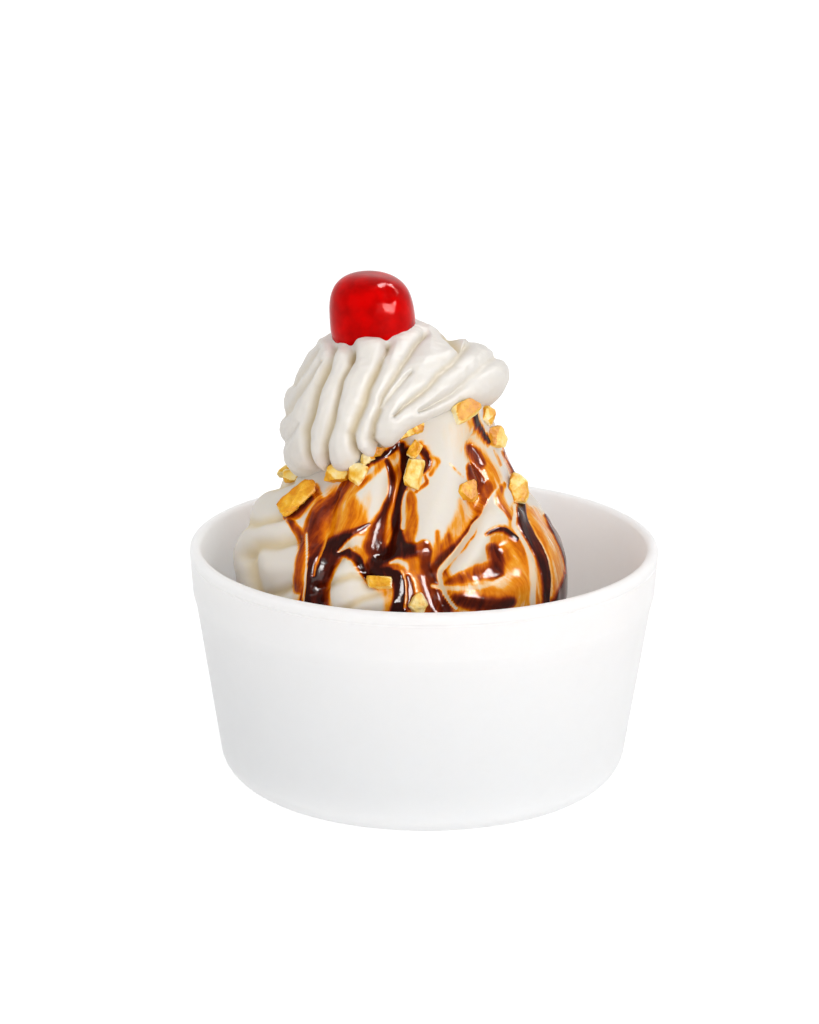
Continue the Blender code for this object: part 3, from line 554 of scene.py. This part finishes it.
# %% The whipped cream's valleys in front
CREAM_VALLEYS = [
    # share of the depth, then the path as (across, down, half width)
    (1.0, (333, 345, 4), (323, 366, 5), (315, 384, 5), (308, 409, 5), (302, 432, 5), (303, 448, 4),
     (306, 476, 4)),
    (0.9, (353, 348, 3), (339, 378, 4), (334, 398, 4), (327, 427, 5), (321, 446, 5), (320, 473, 4)),
    (0.95, (386, 342, 3), (377, 366, 5), (367, 386, 6), (361, 404, 6), (354, 419, 6), (349, 434, 6),
     (350, 450, 5), (356, 466, 5)),
    (0.75, (426, 330, 4), (414, 345, 5), (403, 360, 5), (392, 378, 5), (381, 396, 4), (378, 406, 3)),
    (0.55, (412, 370, 2), (405, 376, 4), (390, 394, 5), (378, 409, 5)),
    (0.85, (378, 409, 5), (372, 424, 5), (370, 440, 5), (376, 454, 5)),
    (0.7, (470, 342, 6), (455, 360, 6), (441, 372, 6), (430, 385, 5), (415, 397, 5), (403, 406, 4),
     (394, 415, 2)),
    (1.1, (442, 314, 8), (453, 330, 8), (462, 344, 5)),
    (0.5, (506, 350, 6), (485, 365, 7), (469, 380, 6), (455, 391, 5), (438, 401, 4), (422, 409, 2)),
    (0.6, (281, 414, 6), (290, 400, 6), (303, 380, 5), (317, 359, 3)),
    (0.55, (290, 382, 6), (303, 363, 5), (316, 346, 3)),
    (0.4, (277, 446, 6), (286, 438, 5), (295, 424, 3)),
]
CREAM_TIPS = [
    # height in mm, then the path as (across, down, half width)
    (1.5, (360, 345, 9), (378, 346, 9)),
    (-1.3, (350, 346, 6), (350, 354, 5)),
    (-0.9, (389, 342, 5), (387, 350, 4)),
    (0.8, (329, 352, 8), (338, 350, 7)),
]
VALLEY_DEPTHS = (1.7, 1.0)
VALLEY_NARROW = 0.78
VALLEY_BROAD = 2.3
VALLEY_WANDER = 0.4
VALLEY_WAVES = 8.0


def valley(near):
    """A narrow groove in a broad shallow one, each falling off as a bell does."""
    narrow = VALLEY_DEPTHS[0] * np.exp(-(near / VALLEY_NARROW) ** 2)
    return narrow + VALLEY_DEPTHS[1] * np.exp(-(near / VALLEY_BROAD) ** 2)


def cream_front(base):
    """The deepest of the valleys at each point, by the distance to each path, less the tips."""
    across, down = front_view(base)
    across = across + VALLEY_WANDER * waves(base, VALLEY_WAVES, seed=13)
    down = down + VALLEY_WANDER * waves(base, VALLEY_WAVES, seed=14)
    dip = np.zeros(across.shape)
    for share_of_depth, *path in CREAM_VALLEYS:
        dip = np.maximum(dip, share_of_depth * valley(reach(across, down, path)))
    for height, *path in CREAM_TIPS:
        dip = dip - height * np.exp(-reach(across, down, path) ** 2)
    return dip


print(len(CREAM_VALLEYS), "valleys,", len(CREAM_TIPS), "tips and gaps")

# %% [markdown]
# Behind, the valleys can't be seen, so they are evenly spaced and climb as they go round. Their
# spacing is chosen so that they meet the front ones where the dome turns out of sight.

# %% The whipped cream's valleys behind
TWIST_START = (31.0, 149.0)
TWIST_SPACING = (18.0, 28.0)
TWIST_SLANT = 0.8
VALLEY_WIDTH = 1.25
BACK_DEPTH = 0.85
BACK_WANDER = 0.15
BACK_WAVES = 6.0


def cream_back(base, degrees, level, radius):
    """Evenly spaced valleys that climb as they go round, by the distance to the nearest."""
    around = np.where(degrees < -90.0, degrees + 360.0, degrees) / 180.0
    spacing = TWIST_SPACING[0] + (TWIST_SPACING[1] - TWIST_SPACING[0]) * around
    start = TWIST_START[0] + (TWIST_START[1] - TWIST_START[0]) * around * np.abs(around)
    phase = (level - start) / spacing
    away = np.abs(phase - np.round(phase)) * np.radians(spacing) * radius * TWIST_SLANT
    return BACK_DEPTH * valley(away / VALLEY_WIDTH + BACK_WANDER * waves(base, BACK_WAVES, seed=15))


print("behind, a valley every", TWIST_SPACING, "degrees")

# %% [markdown]
# The cream's body is a dome that bulges at the right. Its lower edge is a line of (bearing, tilt)
# round it, and the surface rounds in under that. A valley pulls the edge up, so ribs end round.

# %% The whipped cream's surface
CREAM_EDGE = [
    (-180, -29), (-164, -27), (-150, -20), (-140, -17), (-128, -13), (-118, -10), (-108, -4), (-98, 3),
    (-90, 8), (-80, 18), (-65, 24), (-45, 27), (-20, 24), (0, 18), (30, 6), (70, -8),
    (110, -18), (150, -26), (180, -29),
]
CREAM_MIDDLE = (-7.4, 0.0, 86.9)
CREAM_RADIUS = 27.6
VALLEYS_FACING = (-0.50, -0.15)
VALLEYS_TOP = (92.0, 70.0)
DOME_FLATTER = 1.2
DOME_LEVELS = (45.0, 65.0)
RIGHT_BULGE = 3.4
BULGE_PLACE = (5.0, 29.0)
BULGE_SPREAD = (34.0, 14.0)
EDGE_BELOW = 6.0
EDGE_START = 12.0
EDGE_SPREAD = 18.0
EDGE_PER_DIP = 3.0
EDGE_TAKES = 0.28
CREAM_HIDDEN = 0.06
CREAM_UNEVEN = [(0.12, 6.0, 16), (0.06, 2.2, 17)]


def cream_surface(bearing, share):
    """A dome's radius, less what the nearest valley takes, rounded in towards its lower edge."""
    degrees = (np.degrees(bearing) + 180.0) % 360.0 - 180.0
    edge = np.interp(degrees, *np.array(CREAM_EDGE, dtype=float).T)
    up = np.maximum(share - CREAM_HIDDEN, 0.0) / (1.0 - CREAM_HIDDEN)
    level = edge - EDGE_BELOW + (90.0 - edge + EDGE_BELOW) * up
    way = directions(bearing, np.radians(level))
    aside = (degrees - BULGE_PLACE[0]) / BULGE_SPREAD[0]
    above = (level - BULGE_PLACE[1]) / BULGE_SPREAD[1]
    radius = CREAM_RADIUS - DOME_FLATTER * smooth_step(*DOME_LEVELS, level)
    radius = radius + RIGHT_BULGE * np.exp(-aside ** 2 - above ** 2)
    base = np.array(CREAM_MIDDLE) + way * radius[..., None]
    front = smooth_step(*VALLEYS_FACING, way @ TOWARD_EYE)
    dip = front * cream_front(base) + (1.0 - front) * cream_back(base, degrees, level, radius)
    fall = np.clip((edge + EDGE_START + EDGE_PER_DIP * dip - level) / EDGE_SPREAD, 0.0, 1.0)
    radius = radius - dip * smooth_step(*VALLEYS_TOP, level)
    for height, size, seed in CREAM_UNEVEN:
        radius = radius + height * waves(base, size, seed)
    radius = radius * (1.0 - EDGE_TAKES * (1.0 - np.sqrt(1.0 - fall * fall)))
    radius = radius * np.clip(share / CREAM_HIDDEN, 0.0, 1.0)
    # the valleys' depth is kept so that the material can paint warm shade into them
    depth = np.clip(dip / sum(VALLEY_DEPTHS), 0.0, 1.0)
    return np.array(CREAM_MIDDLE) + way * radius[..., None], depth


# %% [markdown]
# The cream's grid also has most of its columns in front. Its lowest rows run inwards to close it.

# %% Build the whipped cream
CREAM_COLUMNS = 420
CREAM_ROWS = 200
CREAM_SHARES = (0.0, 0.72, 1.0)
CREAM_BEARINGS = (-195.0, 15.0, 165.0)

cream_grid = np.meshgrid(
    uneven_bearings(CREAM_COLUMNS, CREAM_SHARES, CREAM_BEARINGS),
    np.concatenate([[0.0], np.linspace(CREAM_HIDDEN, 1.0, CREAM_ROWS)]))
cream_points, valley_depth = cream_surface(*cream_grid)
whipped_cream = grid_piece("dressed_whipped_cream", cream_points, valley=valley_depth)
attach(whipped_cream, "root")
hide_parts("whipped_cream")

# %% [markdown]
# A maraschino cherry is a soft, squarish ball with a dimple where the stem was and shallow creases
# round it. A ball whose radius follows a rounded square's formula gives that in one step, and one
# shoulder is pressed flatter, as the photo shows.

# %% The cherry
CHERRY_MIDDLE = (-12.6, -0.5, 114.4)
CHERRY_HALF = (10.3, 10.2, 10.3)
CHERRY_SQUARE = 3.0
CHERRY_DIMPLE = (0.32, -0.69, 0.64)
DIMPLE_DEPTH = 0.050
DIMPLE_WIDTH = 0.18
CHERRY_CREASES = 4
CREASE_DEPTH = 0.006
CREASE_TWIST = 2.5
CREASE_RING = (0.24, 0.14)
SHOULDER = (0.70, 0.0, 0.714)
SHOULDER_TAKES = 0.095
SHOULDER_TIGHT = 5
CHERRY_UNEVEN = (0.006, 1.1)
CHERRY_COLUMNS = 220
CHERRY_ROWS = 140


def cherry_surface(bearing, share):
    """A ball with the radius of a rounded square upright, less a dent at the stem's place."""
    tilt = math.pi * (share - 0.5)
    way = directions(bearing, tilt)
    square = np.cos(tilt) ** CHERRY_SQUARE + np.abs(np.sin(tilt)) ** CHERRY_SQUARE
    square = square ** (-1.0 / CHERRY_SQUARE)
    stem = np.array(CHERRY_DIMPLE) / np.linalg.norm(CHERRY_DIMPLE)
    sideways = np.cross(stem, (0.0, 0.0, 1.0))
    sideways = sideways / np.linalg.norm(sideways)
    upward = np.cross(sideways, stem)
    off = np.arccos(np.clip(way @ stem, -1.0, 1.0))
    turn = np.arctan2(way @ upward, way @ sideways)
    dent = DIMPLE_DEPTH * np.exp(-(off / DIMPLE_WIDTH) ** 2)
    crease = CREASE_DEPTH * np.cos(CHERRY_CREASES * turn + CREASE_TWIST * off)
    crease = crease * np.exp(-((off - CREASE_RING[0]) / CREASE_RING[1]) ** 2)
    flatter = SHOULDER_TAKES * np.clip(way @ np.array(SHOULDER), 0.0, 1.0) ** SHOULDER_TIGHT
    height, width = CHERRY_UNEVEN
    size = square * (1.0 - dent - crease - flatter) + height * waves(way, width, seed=21)
    return np.array(CHERRY_MIDDLE) + way * size[..., None] * np.array(CHERRY_HALF)


def even_grid(columns, rows):
    """Bearings all the way round and shares from 0 at the bottom to 1 at the top."""
    return np.meshgrid(2.0 * math.pi * np.arange(columns) / columns, np.linspace(0.0, 1.0, rows))


cherry = grid_piece("dressed_cherry", cherry_surface(*even_grid(CHERRY_COLUMNS, CHERRY_ROWS)))
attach(cherry, "root")
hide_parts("cherry")

# %% [markdown]
# The bowl is moulded foam, turned about its middle: a round lip with a fine bead under it, a band, a
# sloping step and a straight wall. Its outline is a list of corners, and each corner is rounded by
# an arc of its own radius, the way a mould is drawn.

# %% The bowl
BOWL_OUTLINE = [
    # radius, height, rounding
    (0.0, 3.0, 0.0), (46.0, 3.0, 6.0), (54.3, 58.0, 1.3), (57.0, 58.0, 1.35), (56.85, 55.5, 0.1),
    (56.62, 55.2, 0.2), (56.85, 54.9, 0.1), (56.2, 46.4, 0.8), (55.4, 43.4, 1.5), (48.8, 0.0, 7.5),
    (0.0, 0.0, 0.0),
]
ARC_STEPS = 9
BOWL_COLUMNS = 256


def rounded(outline, steps):
    """Replace each corner by an arc that touches both its sides, with its own radius."""
    points = [np.array(outline[0][:2])]
    for before, corner, after in zip(outline[:-2], outline[1:-1], outline[2:]):
        middle = np.array(corner[:2])
        one = np.array(before[:2]) - middle
        two = np.array(after[:2]) - middle
        one = one / np.linalg.norm(one)
        two = two / np.linalg.norm(two)
        half = math.acos(np.clip(one @ two, -1.0, 1.0)) / 2.0
        along = corner[2] / math.tan(half)
        centre = middle + (one + two) / np.linalg.norm(one + two) * corner[2] / math.sin(half)
        start = middle + one * along - centre
        end = middle + two * along - centre
        for t in np.linspace(0.0, 1.0, steps):
            arm = start * (1.0 - t) + end * t
            points.append(centre + arm / np.linalg.norm(arm) * corner[2])
    points.append(np.array(outline[-1][:2]))
    return np.array(points)


profile = rounded(BOWL_OUTLINE, ARC_STEPS)[::-1]
turn = 2.0 * math.pi * np.arange(BOWL_COLUMNS) / BOWL_COLUMNS
bowl_points = np.stack([profile[:, :1] * np.cos(turn), profile[:, :1] * np.sin(turn),
                        np.repeat(profile[:, 1:], BOWL_COLUMNS, axis=1)], axis=-1)
bowl = grid_piece("dressed_bowl", bowl_points)
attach(bowl, "root")
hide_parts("bowl")

# %% [markdown]
# Chopped peanuts are small broken lumps: flat faces with soft edges. Each should differ, so none is
# cut by hand: its radius is the least distance to a crooked box's six planes and four random cuts.

# %% One chopped nut
NUT_COLUMNS = 60
NUT_ROWS = 38
NUT_CROOKED = 0.24
NUT_CUTS = 4
NUT_BOX_AWAY = (0.78, 1.0)
NUT_CUTS_AWAY = (0.85, 1.1)
NUT_SHARP = 60
NUT_LONGEST = 1.25
NUT_UNEVEN = (0.035, 0.5)


def nut_shape(size, seed):
    """A ball whose radius is the smoothed least distance to random planes, and the plane it meets."""
    rng = np.random.default_rng(seed)
    bearing, share = even_grid(NUT_COLUMNS, NUT_ROWS)
    way = directions(bearing, math.pi * (share - 0.5))
    box = np.vstack([np.eye(3), -np.eye(3)])
    box = box + rng.normal(0.0, NUT_CROOKED, box.shape)
    planes = np.vstack([box, rng.normal(size=(NUT_CUTS, 3))])
    planes = planes / np.linalg.norm(planes, axis=1, keepdims=True)
    away = np.concatenate([rng.uniform(*NUT_BOX_AWAY, len(box)), rng.uniform(*NUT_CUTS_AWAY, NUT_CUTS)])
    nearness = np.maximum(way @ planes.T, 0.0) / away
    radius = (nearness ** NUT_SHARP).sum(axis=-1) ** (-1.0 / NUT_SHARP)
    radius = np.minimum(radius, NUT_LONGEST) * (1.0 + NUT_UNEVEN[0] * waves(way, NUT_UNEVEN[1], seed))
    tone = rng.permutation(np.linspace(0.0, 1.0, len(planes)))[np.argmax(nearness, axis=-1)]
    return way * radius[..., None] * np.array(size) * 0.5, tone


print("each nut has", len(grid_faces(NUT_ROWS, NUT_COLUMNS)), "faces")

# %% [markdown]
# The nuts in front lie where the photo shows them, and a few guessed ones lie behind. Each is set on
# a point of the soft serve's own surface, so that it touches what carries it, seen from any side.
# In front that is the point nearest to its place in the picture, and of two sheets the front one.

# %% Places for the nuts
NUTS_IN_FRONT = [
    # across, down, length, width, thickness in mm, turn
    (298, 500, 11.6, 4.8, 3.4, 50), (294, 477, 5.4, 3.6, 2.8, 8), (340, 474, 7.0, 4.2, 4.0, 6),
    (359, 475, 5.0, 4.8, 3.4, 80), (414, 473, 7.8, 4.8, 3.8, 86), (415, 448, 4.0, 2.8, 2.4, 66),
    (405, 431, 6.6, 4.2, 2.6, 30), (415, 424, 4.4, 3.2, 2.4, 110), (464, 411, 7.4, 4.6, 3.2, 28),
    (493, 437, 6.0, 5.2, 3.8, 75), (466, 491, 5.2, 4.8, 2.8, 0), (515, 491, 7.6, 5.0, 3.8, 68),
    (380, 583, 6.4, 3.4, 2.4, 4), (418, 604, 4.4, 4.0, 3.0, 40), (368, 458, 3.6, 3.0, 2.0, 40),
    (378, 453, 3.0, 2.4, 1.8, 10), (487, 416, 4.0, 3.6, 2.6, 60),
]
NUTS_BEHIND = [
    # bearing, height, length, width, thickness in mm, turn
    (38, 74, 6.6, 4.8, 3.2, 20), (62, 62, 5.8, 4.4, 3.0, 75), (84, 80, 6.4, 4.6, 3.0, 140),
    (118, 66, 7.2, 5.0, 3.4, 50), (150, 71, 5.6, 4.4, 3.0, 110),
]
NUT_FACES_EYE = 0.12
NUT_NEARER = 0.5
NUT_SIDE_DEGREE = 0.6


def nut_places(points):
    """For each nut the soft serve's nearest point, the way outwards, its size and its turn."""
    normal = grid_normals(points)
    across, down = front_view(points)
    hidden = normal @ TOWARD_EYE < NUT_FACES_EYE
    nearer = NUT_NEARER * (points @ TOWARD_EYE)
    places = []
    for x, y, length, width, thick, turn in NUTS_IN_FRONT:
        miss = np.where(hidden, np.inf, np.hypot(across - x, down - y) - nearer)
        spot = np.unravel_index(np.argmin(miss), miss.shape)
        outward = normal[spot] + TOWARD_EYE
        places.append((points[spot], outward / np.linalg.norm(outward), (length, width, thick), turn))
    middle = SERVE_PROFILE[0][2]
    bearing = np.degrees(np.arctan2(points[..., 1], points[..., 0] - middle))
    for angle, height, length, width, thick, turn in NUTS_BEHIND:
        miss = np.hypot((bearing - angle) * NUT_SIDE_DEGREE, points[..., 2] - height)
        spot = np.unravel_index(np.argmin(miss), miss.shape)
        places.append((points[spot], normal[spot], (length, width, thick), turn))
    return places


print(len(NUTS_IN_FRONT), "nuts in front,", len(NUTS_BEHIND), "behind")

# %% [markdown]
# All nuts are one mesh, because there are few of them and they share one finish. Each is turned
# about the way outwards and sunk by a quarter of its thickness into the soft serve.

# %% Build the chopped nuts
NUT_RAISED = 0.25
NUT_SEED = 40
NUT_TONES = (0.7, 0.3)


def build_nuts(places):
    """Put each nut's shape on its place, turned about the surface's normal, in one mesh."""
    verts, faces, tones = [], [], []
    first = 0
    for number, (place, outward, size, turn) in enumerate(places):
        shape, tone = nut_shape(size, NUT_SEED + number)
        stand = Vector(outward).to_track_quat("Z", "Y").to_matrix()
        stand = stand @ Matrix.Rotation(math.radians(turn), 3, "Z")
        verts.append(poled(shape @ np.array(stand).T + place + outward * size[2] * NUT_RAISED))
        faces += grid_faces(NUT_ROWS, NUT_COLUMNS, first)
        tones.append(poled(NUT_TONES[0] * tone + NUT_TONES[1] * random.Random(number).random()))
        first += len(verts[-1])
    return add_piece("chopped_nuts", np.vstack(verts), faces, {"tone": np.concatenate(tones)})


nuts = build_nuts(nut_places(serve_points))
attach(nuts, "root")
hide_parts("soft_serve")

# %% [markdown]
# A material is a tree of nodes, which could be drawn in the shader editor. In code it stays
# readable if a small class adds the nodes, sets their inputs and puts the material on its piece.

# %% Helpers for materials


def linear(*channels):
    """A picture's colour of 0 to 255 as linear light, by the sRGB formula."""
    light = (((c / 255 + 0.055) / 1.055) ** 2.4 if c > 10 else c / 255 / 12.92 for c in channels)
    return (*light, 1.0)


def grey(value):
    """A colour of one value in red, green and blue."""
    return (value, value, value, 1.0)


class Finish:
    """One material's node tree, with short calls to add and join nodes."""

    def __init__(self, name):
        self.material = bpy.data.materials.new(name)
        self.material.use_nodes = True
        self.tree = self.material.node_tree
        self.shader = self.tree.nodes["Principled BSDF"]

    def put(self, node, key, value):
        """Set one input, or link it where the value is another node's output."""
        socket = node.inputs[int(key)] if key.isdigit() else node.inputs[key]
        if isinstance(value, bpy.types.NodeSocket):
            self.tree.links.new(value, socket)
        else:
            socket.default_value = value

    def add(self, kind, **inputs):
        """Add a node and set or link its inputs, which are named with _ for a space."""
        node = self.tree.nodes.new(kind)
        for key, value in inputs.items():
            self.put(node, key.replace("_", " "), value)
        return node

    def shade(self, **inputs):
        """Set or link inputs of the shader itself, named in the same way."""
        for key, value in inputs.items():
            self.put(self.shader, key.replace("_", " "), value)

    def sum(self, operation, *values):
        """A Math node of two values."""
        node = self.tree.nodes.new("ShaderNodeMath")
        node.operation = operation
        for place, value in enumerate(values):
            self.put(node, str(place), value)
        return node.outputs[0]

    def mixture(self, *parts):
        """The sum of values, each times its share."""
        first, *others = (self.sum("MULTIPLY", value, share) for value, share in parts)
        for other in others:
            first = self.sum("ADD", first, other)
        return first

    def attribute(self, name, kind="Fac"):
        """The value that each point of the mesh holds under a name."""
        node = self.tree.nodes.new("ShaderNodeAttribute")
        node.attribute_name = name
        return node.outputs[kind]

    def place(self):
        """The object's own coordinates."""
        return self.tree.nodes.new("ShaderNodeTexCoord").outputs["Object"]

    def noise(self, scale, detail=3.0, vector=None):
        """A noise value of 0 to 1 over the object's coordinates, or over another vector."""
        where = vector or self.place()
        return self.add("ShaderNodeTexNoise", Vector=where, Scale=scale, Detail=detail).outputs["Fac"]

    def ramp(self, value, *stops):
        """A colour that changes with a value, by stops of place and colour."""
        node = self.tree.nodes.new("ShaderNodeValToRGB")
        points = node.color_ramp.elements
        while len(points) < len(stops):
            points.new(0.5)
        for point, (place, colour) in zip(points, stops):
            point.position = place
            point.color = colour
        self.tree.links.new(value, node.inputs["Fac"])
        return node.outputs["Color"]

    def bump(self, height, distance, strength):
        """Join a height to the shader's normal."""
        node = self.add("ShaderNodeBump", Height=height, Distance=distance, Strength=strength)
        self.tree.links.new(node.outputs["Normal"], self.shader.inputs["Normal"])

    def dress(self, piece):
        """Put the material on a piece and say so."""
        piece.data.materials.append(self.material)
        print(self.material.name, "on", piece.name, "with", len(self.tree.nodes), "nodes")


# %% [markdown]
# Soft serve under syrup is one material: the syrup's thickness picks the colour, from clean vanilla
# through amber and brown to near black. Noise that is stretched along the flow moves the thickness
# a little, so that streaks run down the streams as they do where syrup and melting cream mix. A
# shell over the cream could be the syrup too, but it would leave an edge where it ends.

# %% Syrup's colours by its thickness
# each: scale, detail and its share of the thickness
STREAKS = (1.0, 4.0, 0.85)
FINE_STREAKS = (3.4, 3.0, 0.30)
SPECKS = (800.0, 3.0, 0.16)
WET = (0.02, 0.20)
SYRUP_COLOURS = (
    # thickness, then the colour: clean vanilla, a stain, thin and full amber, three browns, black
    (0.02, linear(219, 212, 202)),
    (0.12, linear(230, 194, 146)),
    (0.26, linear(230, 154, 38)),
    (0.38, linear(218, 122, 2)),
    (0.54, linear(176, 76, 3)),
    (0.70, linear(122, 40, 5)),
    (0.86, linear(78, 20, 5)),
    (1.0, linear(44, 8, 3)),
)


def unsteady(finish, value, flow):
    """The thickness plus noise less its mean, where the surface is wet."""
    parts = []
    for (scale, detail, share), vector in ((STREAKS, flow), (SPECKS, None), (FINE_STREAKS, flow)):
        parts.append((finish.sum("SUBTRACT", finish.noise(scale, detail, vector), 0.5), share))
    wet = finish.add("ShaderNodeMapRange", Value=value, From_Min=WET[0], From_Max=WET[1])
    moved = finish.sum("MULTIPLY", finish.mixture(*parts), wet.outputs["Result"])
    return finish.sum("ADD", value, moved)


ice = Finish("vanilla_ice_and_syrup")
thick = unsteady(ice, ice.attribute("syrup"), ice.attribute("flow", "Vector"))
colour = ice.ramp(thick, *SYRUP_COLOURS)

# %% [markdown]
# The creases get painted shade: the crease value mixes a darker, yellower tint into the clean
# cream. It is also dull and lets light in, and both fade under the wet syrup, as the painted shade does.
# All of them follow the same thickness.

# %% Soft serve and syrup finish
PAINTED_CREASE_SHADE = linear(214, 190, 136)
CREASE_SHADE_UNDER_SYRUP = ((0.04, grey(0.6)), (0.14, grey(0.0)))
ICE_ROUGH = ((0.02, grey(0.55)), (0.15, grey(0.24)), (0.5, grey(0.10)))
ICE_LETS_IN = ((0.05, grey(0.30)), (0.22, grey(0.0)))
ICE_SHINES = ((0.04, grey(0.03)), (0.24, grey(0.09)))

# painted shade: the crease value mixes a darker yellow-grey into the clean cream, less under syrup
crease_shade_amount = ice.sum("MULTIPLY", ice.attribute("crease"), ice.ramp(thick, *CREASE_SHADE_UNDER_SYRUP))
shaded_cream_colour = ice.add("ShaderNodeMix", Factor=crease_shade_amount)
shaded_cream_colour.data_type = "RGBA"
ice.put(shaded_cream_colour, "6", colour)
ice.put(shaded_cream_colour, "7", PAINTED_CREASE_SHADE)
ice.shade(
    Base_Color=shaded_cream_colour.outputs[2],
    Roughness=ice.ramp(thick, *ICE_ROUGH),
    Subsurface_Weight=ice.ramp(thick, *ICE_LETS_IN),
    Subsurface_Radius=(0.0030, 0.0022, 0.0012),
    Subsurface_Scale=1.0,
    Specular_IOR_Level=ice.ramp(thick, *ICE_SHINES),
)
ice.bump(ice.noise(900.0), distance=0.0002, strength=0.2)
ice.dress(soft_serve)

# %% [markdown]
# Whipped cream is soft white, with warm painted shade deep in its valleys. Light scatters a
# little way in, so the shader's subsurface part is on.

# %% Whipped cream finish
# the cream's own colour, then painted warm shade where the valleys are deepest
CREAM_AND_VALLEY_SHADE = ((0.36, linear(220, 215, 208)), (1.0, linear(206, 190, 158)))

cream = Finish("whipped_cream")
cream.shade(
    Base_Color=cream.ramp(cream.attribute("valley"), *CREAM_AND_VALLEY_SHADE),
    Roughness=0.5,
    Specular_IOR_Level=0.1,
    Subsurface_Weight=0.3,
    Subsurface_Radius=(0.0022, 0.0020, 0.0016),
    Subsurface_Scale=1.0,
)
cream.bump(cream.noise(600.0, detail=4.0), distance=0.0003, strength=0.35)
cream.dress(whipped_cream)

# %% [markdown]
# The cherry is wet and bright red, a little darker where noise says that the flesh is dense. Its
# reflections are tinted and weak, since a clear coat would whiten the red in this bright room.

# %% Cherry finish
CHERRY_COLOURS = ((0.35, linear(168, 0, 0)), (0.65, linear(206, 0, 0)))

red = Finish("cherry_red")
red.shade(
    Base_Color=red.ramp(red.noise(220.0), *CHERRY_COLOURS),
    Roughness=0.12,
    Specular_IOR_Level=0.07,
    Specular_Tint=(1.0, 0.35, 0.33, 1.0),
    Subsurface_Weight=0.15,
    Subsurface_Radius=(0.004, 0.0004, 0.0004),
    Subsurface_Scale=1.0,
)
red.bump(red.noise(260.0, detail=2.0), distance=0.0005, strength=0.15)
red.dress(cherry)

# %% [markdown]
# Moulded foam shows the beads that it was blown from as a very fine mottling, so the cells of a
# Voronoi pattern raise it by a hair. Light passes far into foam, so its subsurface part is full.

# %% Foam finish
FOAM_COLOURS = ((0.3, linear(249, 247, 247)), (0.7, linear(251, 249, 249)))
BEAD_SCALE = 620.0

foam = Finish("foam_white")
beads = foam.add("ShaderNodeTexVoronoi", Vector=foam.place(), Scale=BEAD_SCALE)
foam.shade(
    Base_Color=foam.ramp(foam.noise(200.0, detail=4.0), *FOAM_COLOURS),
    Roughness=0.6,
    Specular_IOR_Level=0.04,
    Subsurface_Weight=1.0,
    Subsurface_Radius=(0.012, 0.0115, 0.011),
    Subsurface_Scale=1.0,
)
foam.bump(beads.outputs["Distance"], distance=0.0001, strength=0.25)
foam.dress(bowl)

# %% [markdown]
# Roasted nuts run from pale cream inside to amber skin. Each face has its own tone, and noise adds
# the grain of broken nut. A picture of nuts could be used instead, but it would show its seams.

# %% Nut finish
FACE_TONE = 0.4
GRAIN_TONE = 0.75
NUT_COLOURS = (
    (0.34, linear(250, 234, 188)),
    (0.48, linear(246, 214, 124)),
    (0.60, linear(236, 176, 46)),
    (0.74, linear(214, 136, 16)),
)

nut = Finish("chopped_nut")
tone = nut.mixture((nut.attribute("tone"), FACE_TONE), (nut.noise(300.0, detail=5.0), GRAIN_TONE))
nut.shade(Base_Color=nut.ramp(tone, *NUT_COLOURS), Roughness=0.45, Specular_IOR_Level=0.12)
nut.bump(nut.noise(1100.0, detail=5.0), distance=0.0006, strength=0.8)
nut.dress(nuts)

# %% [markdown]
# The sundae stands on white paper. A truly white floor would light the bowl from below more than
# the photo shows, so the paper glows to look white, but its light doesn't reach the sundae.

# %% The floor
FLOOR_HALF = 4
PAPER_SHADES = ((0.3, grey(0.29)), (0.7, grey(0.31)))
PAPER_GLOW = 0.80
FLOOR_CORNERS = [(-1, -1), (1, -1), (1, 1), (-1, 1)]

floor_mesh = bpy.data.meshes.new("floor")
floor_mesh.from_pydata([(x * FLOOR_HALF, y * FLOOR_HALF, 0) for x, y in FLOOR_CORNERS], [], [(0, 1, 2, 3)])
floor = bpy.data.objects.new("floor", floor_mesh)
bpy.context.scene.collection.objects.link(floor)
floor.visible_diffuse = False
paper = Finish("white_paper")
paper.shade(Base_Color=paper.ramp(paper.noise(3.0), *PAPER_SHADES), Roughness=0.8,
            Emission_Color=grey(1.0), Emission_Strength=PAPER_GLOW)
paper.dress(floor)

# %% [markdown]
# The light is soft and comes from everywhere, so the world does most of it. A key lamp low at the
# right gives the bowl its bright side, a weak one at the left opens the shade, and one is above.
# The last two only show as reflections: they glint in the syrup without burning out the cream.

# %% The world and the lamps
WORLD_STRENGTH = 0.84
LAMPS = [
    # name, place, target and size in m, power in W, and whether it only shows as a reflection
    ("key", (0.34, -0.86, 0.24), (0.0, 0.0, 0.06), 0.40, 3.1, False),
    ("top", (0.15, -0.15, 1.0), (0.0, 0.0, 0.05), 0.4, 0.6, False),
    ("fill", (-0.7, -0.6, 0.25), (0.0, 0.0, 0.06), 0.5, 0.2, False),
    ("glint", (0.63, -0.61, 0.30), (0.0, 0.0, 0.11), 0.44, 62.0, True),
    ("glint_above", (0.50, 0.30, 0.90), (0.0, 0.0, 0.11), 0.40, 34.0, True),
]


def add_light(name, place, target, size, power, only_glints):
    """A square soft light that faces a target; it can be one that only shows as a reflection."""
    lamp = bpy.data.lights.new(name, "AREA")
    lamp.size = size
    lamp.energy = power
    light = bpy.data.objects.new(name, lamp)
    light.visible_diffuse = not only_glints
    light.location = place
    light.rotation_euler = (Vector(target) - Vector(place)).to_track_quat("-Z", "Y").to_euler()
    bpy.context.scene.collection.objects.link(light)


world = bpy.data.worlds.new("studio")
bpy.context.scene.world = world
world.use_nodes = True
background = world.node_tree.nodes["Background"]
background.inputs["Color"].default_value = grey(1.0)
background.inputs["Strength"].default_value = WORLD_STRENGTH
for settings in LAMPS:
    add_light(*settings)
bpy.context.scene.view_settings.view_transform = "Standard"
print(len(LAMPS), "lamps, and a world of strength", WORLD_STRENGTH)
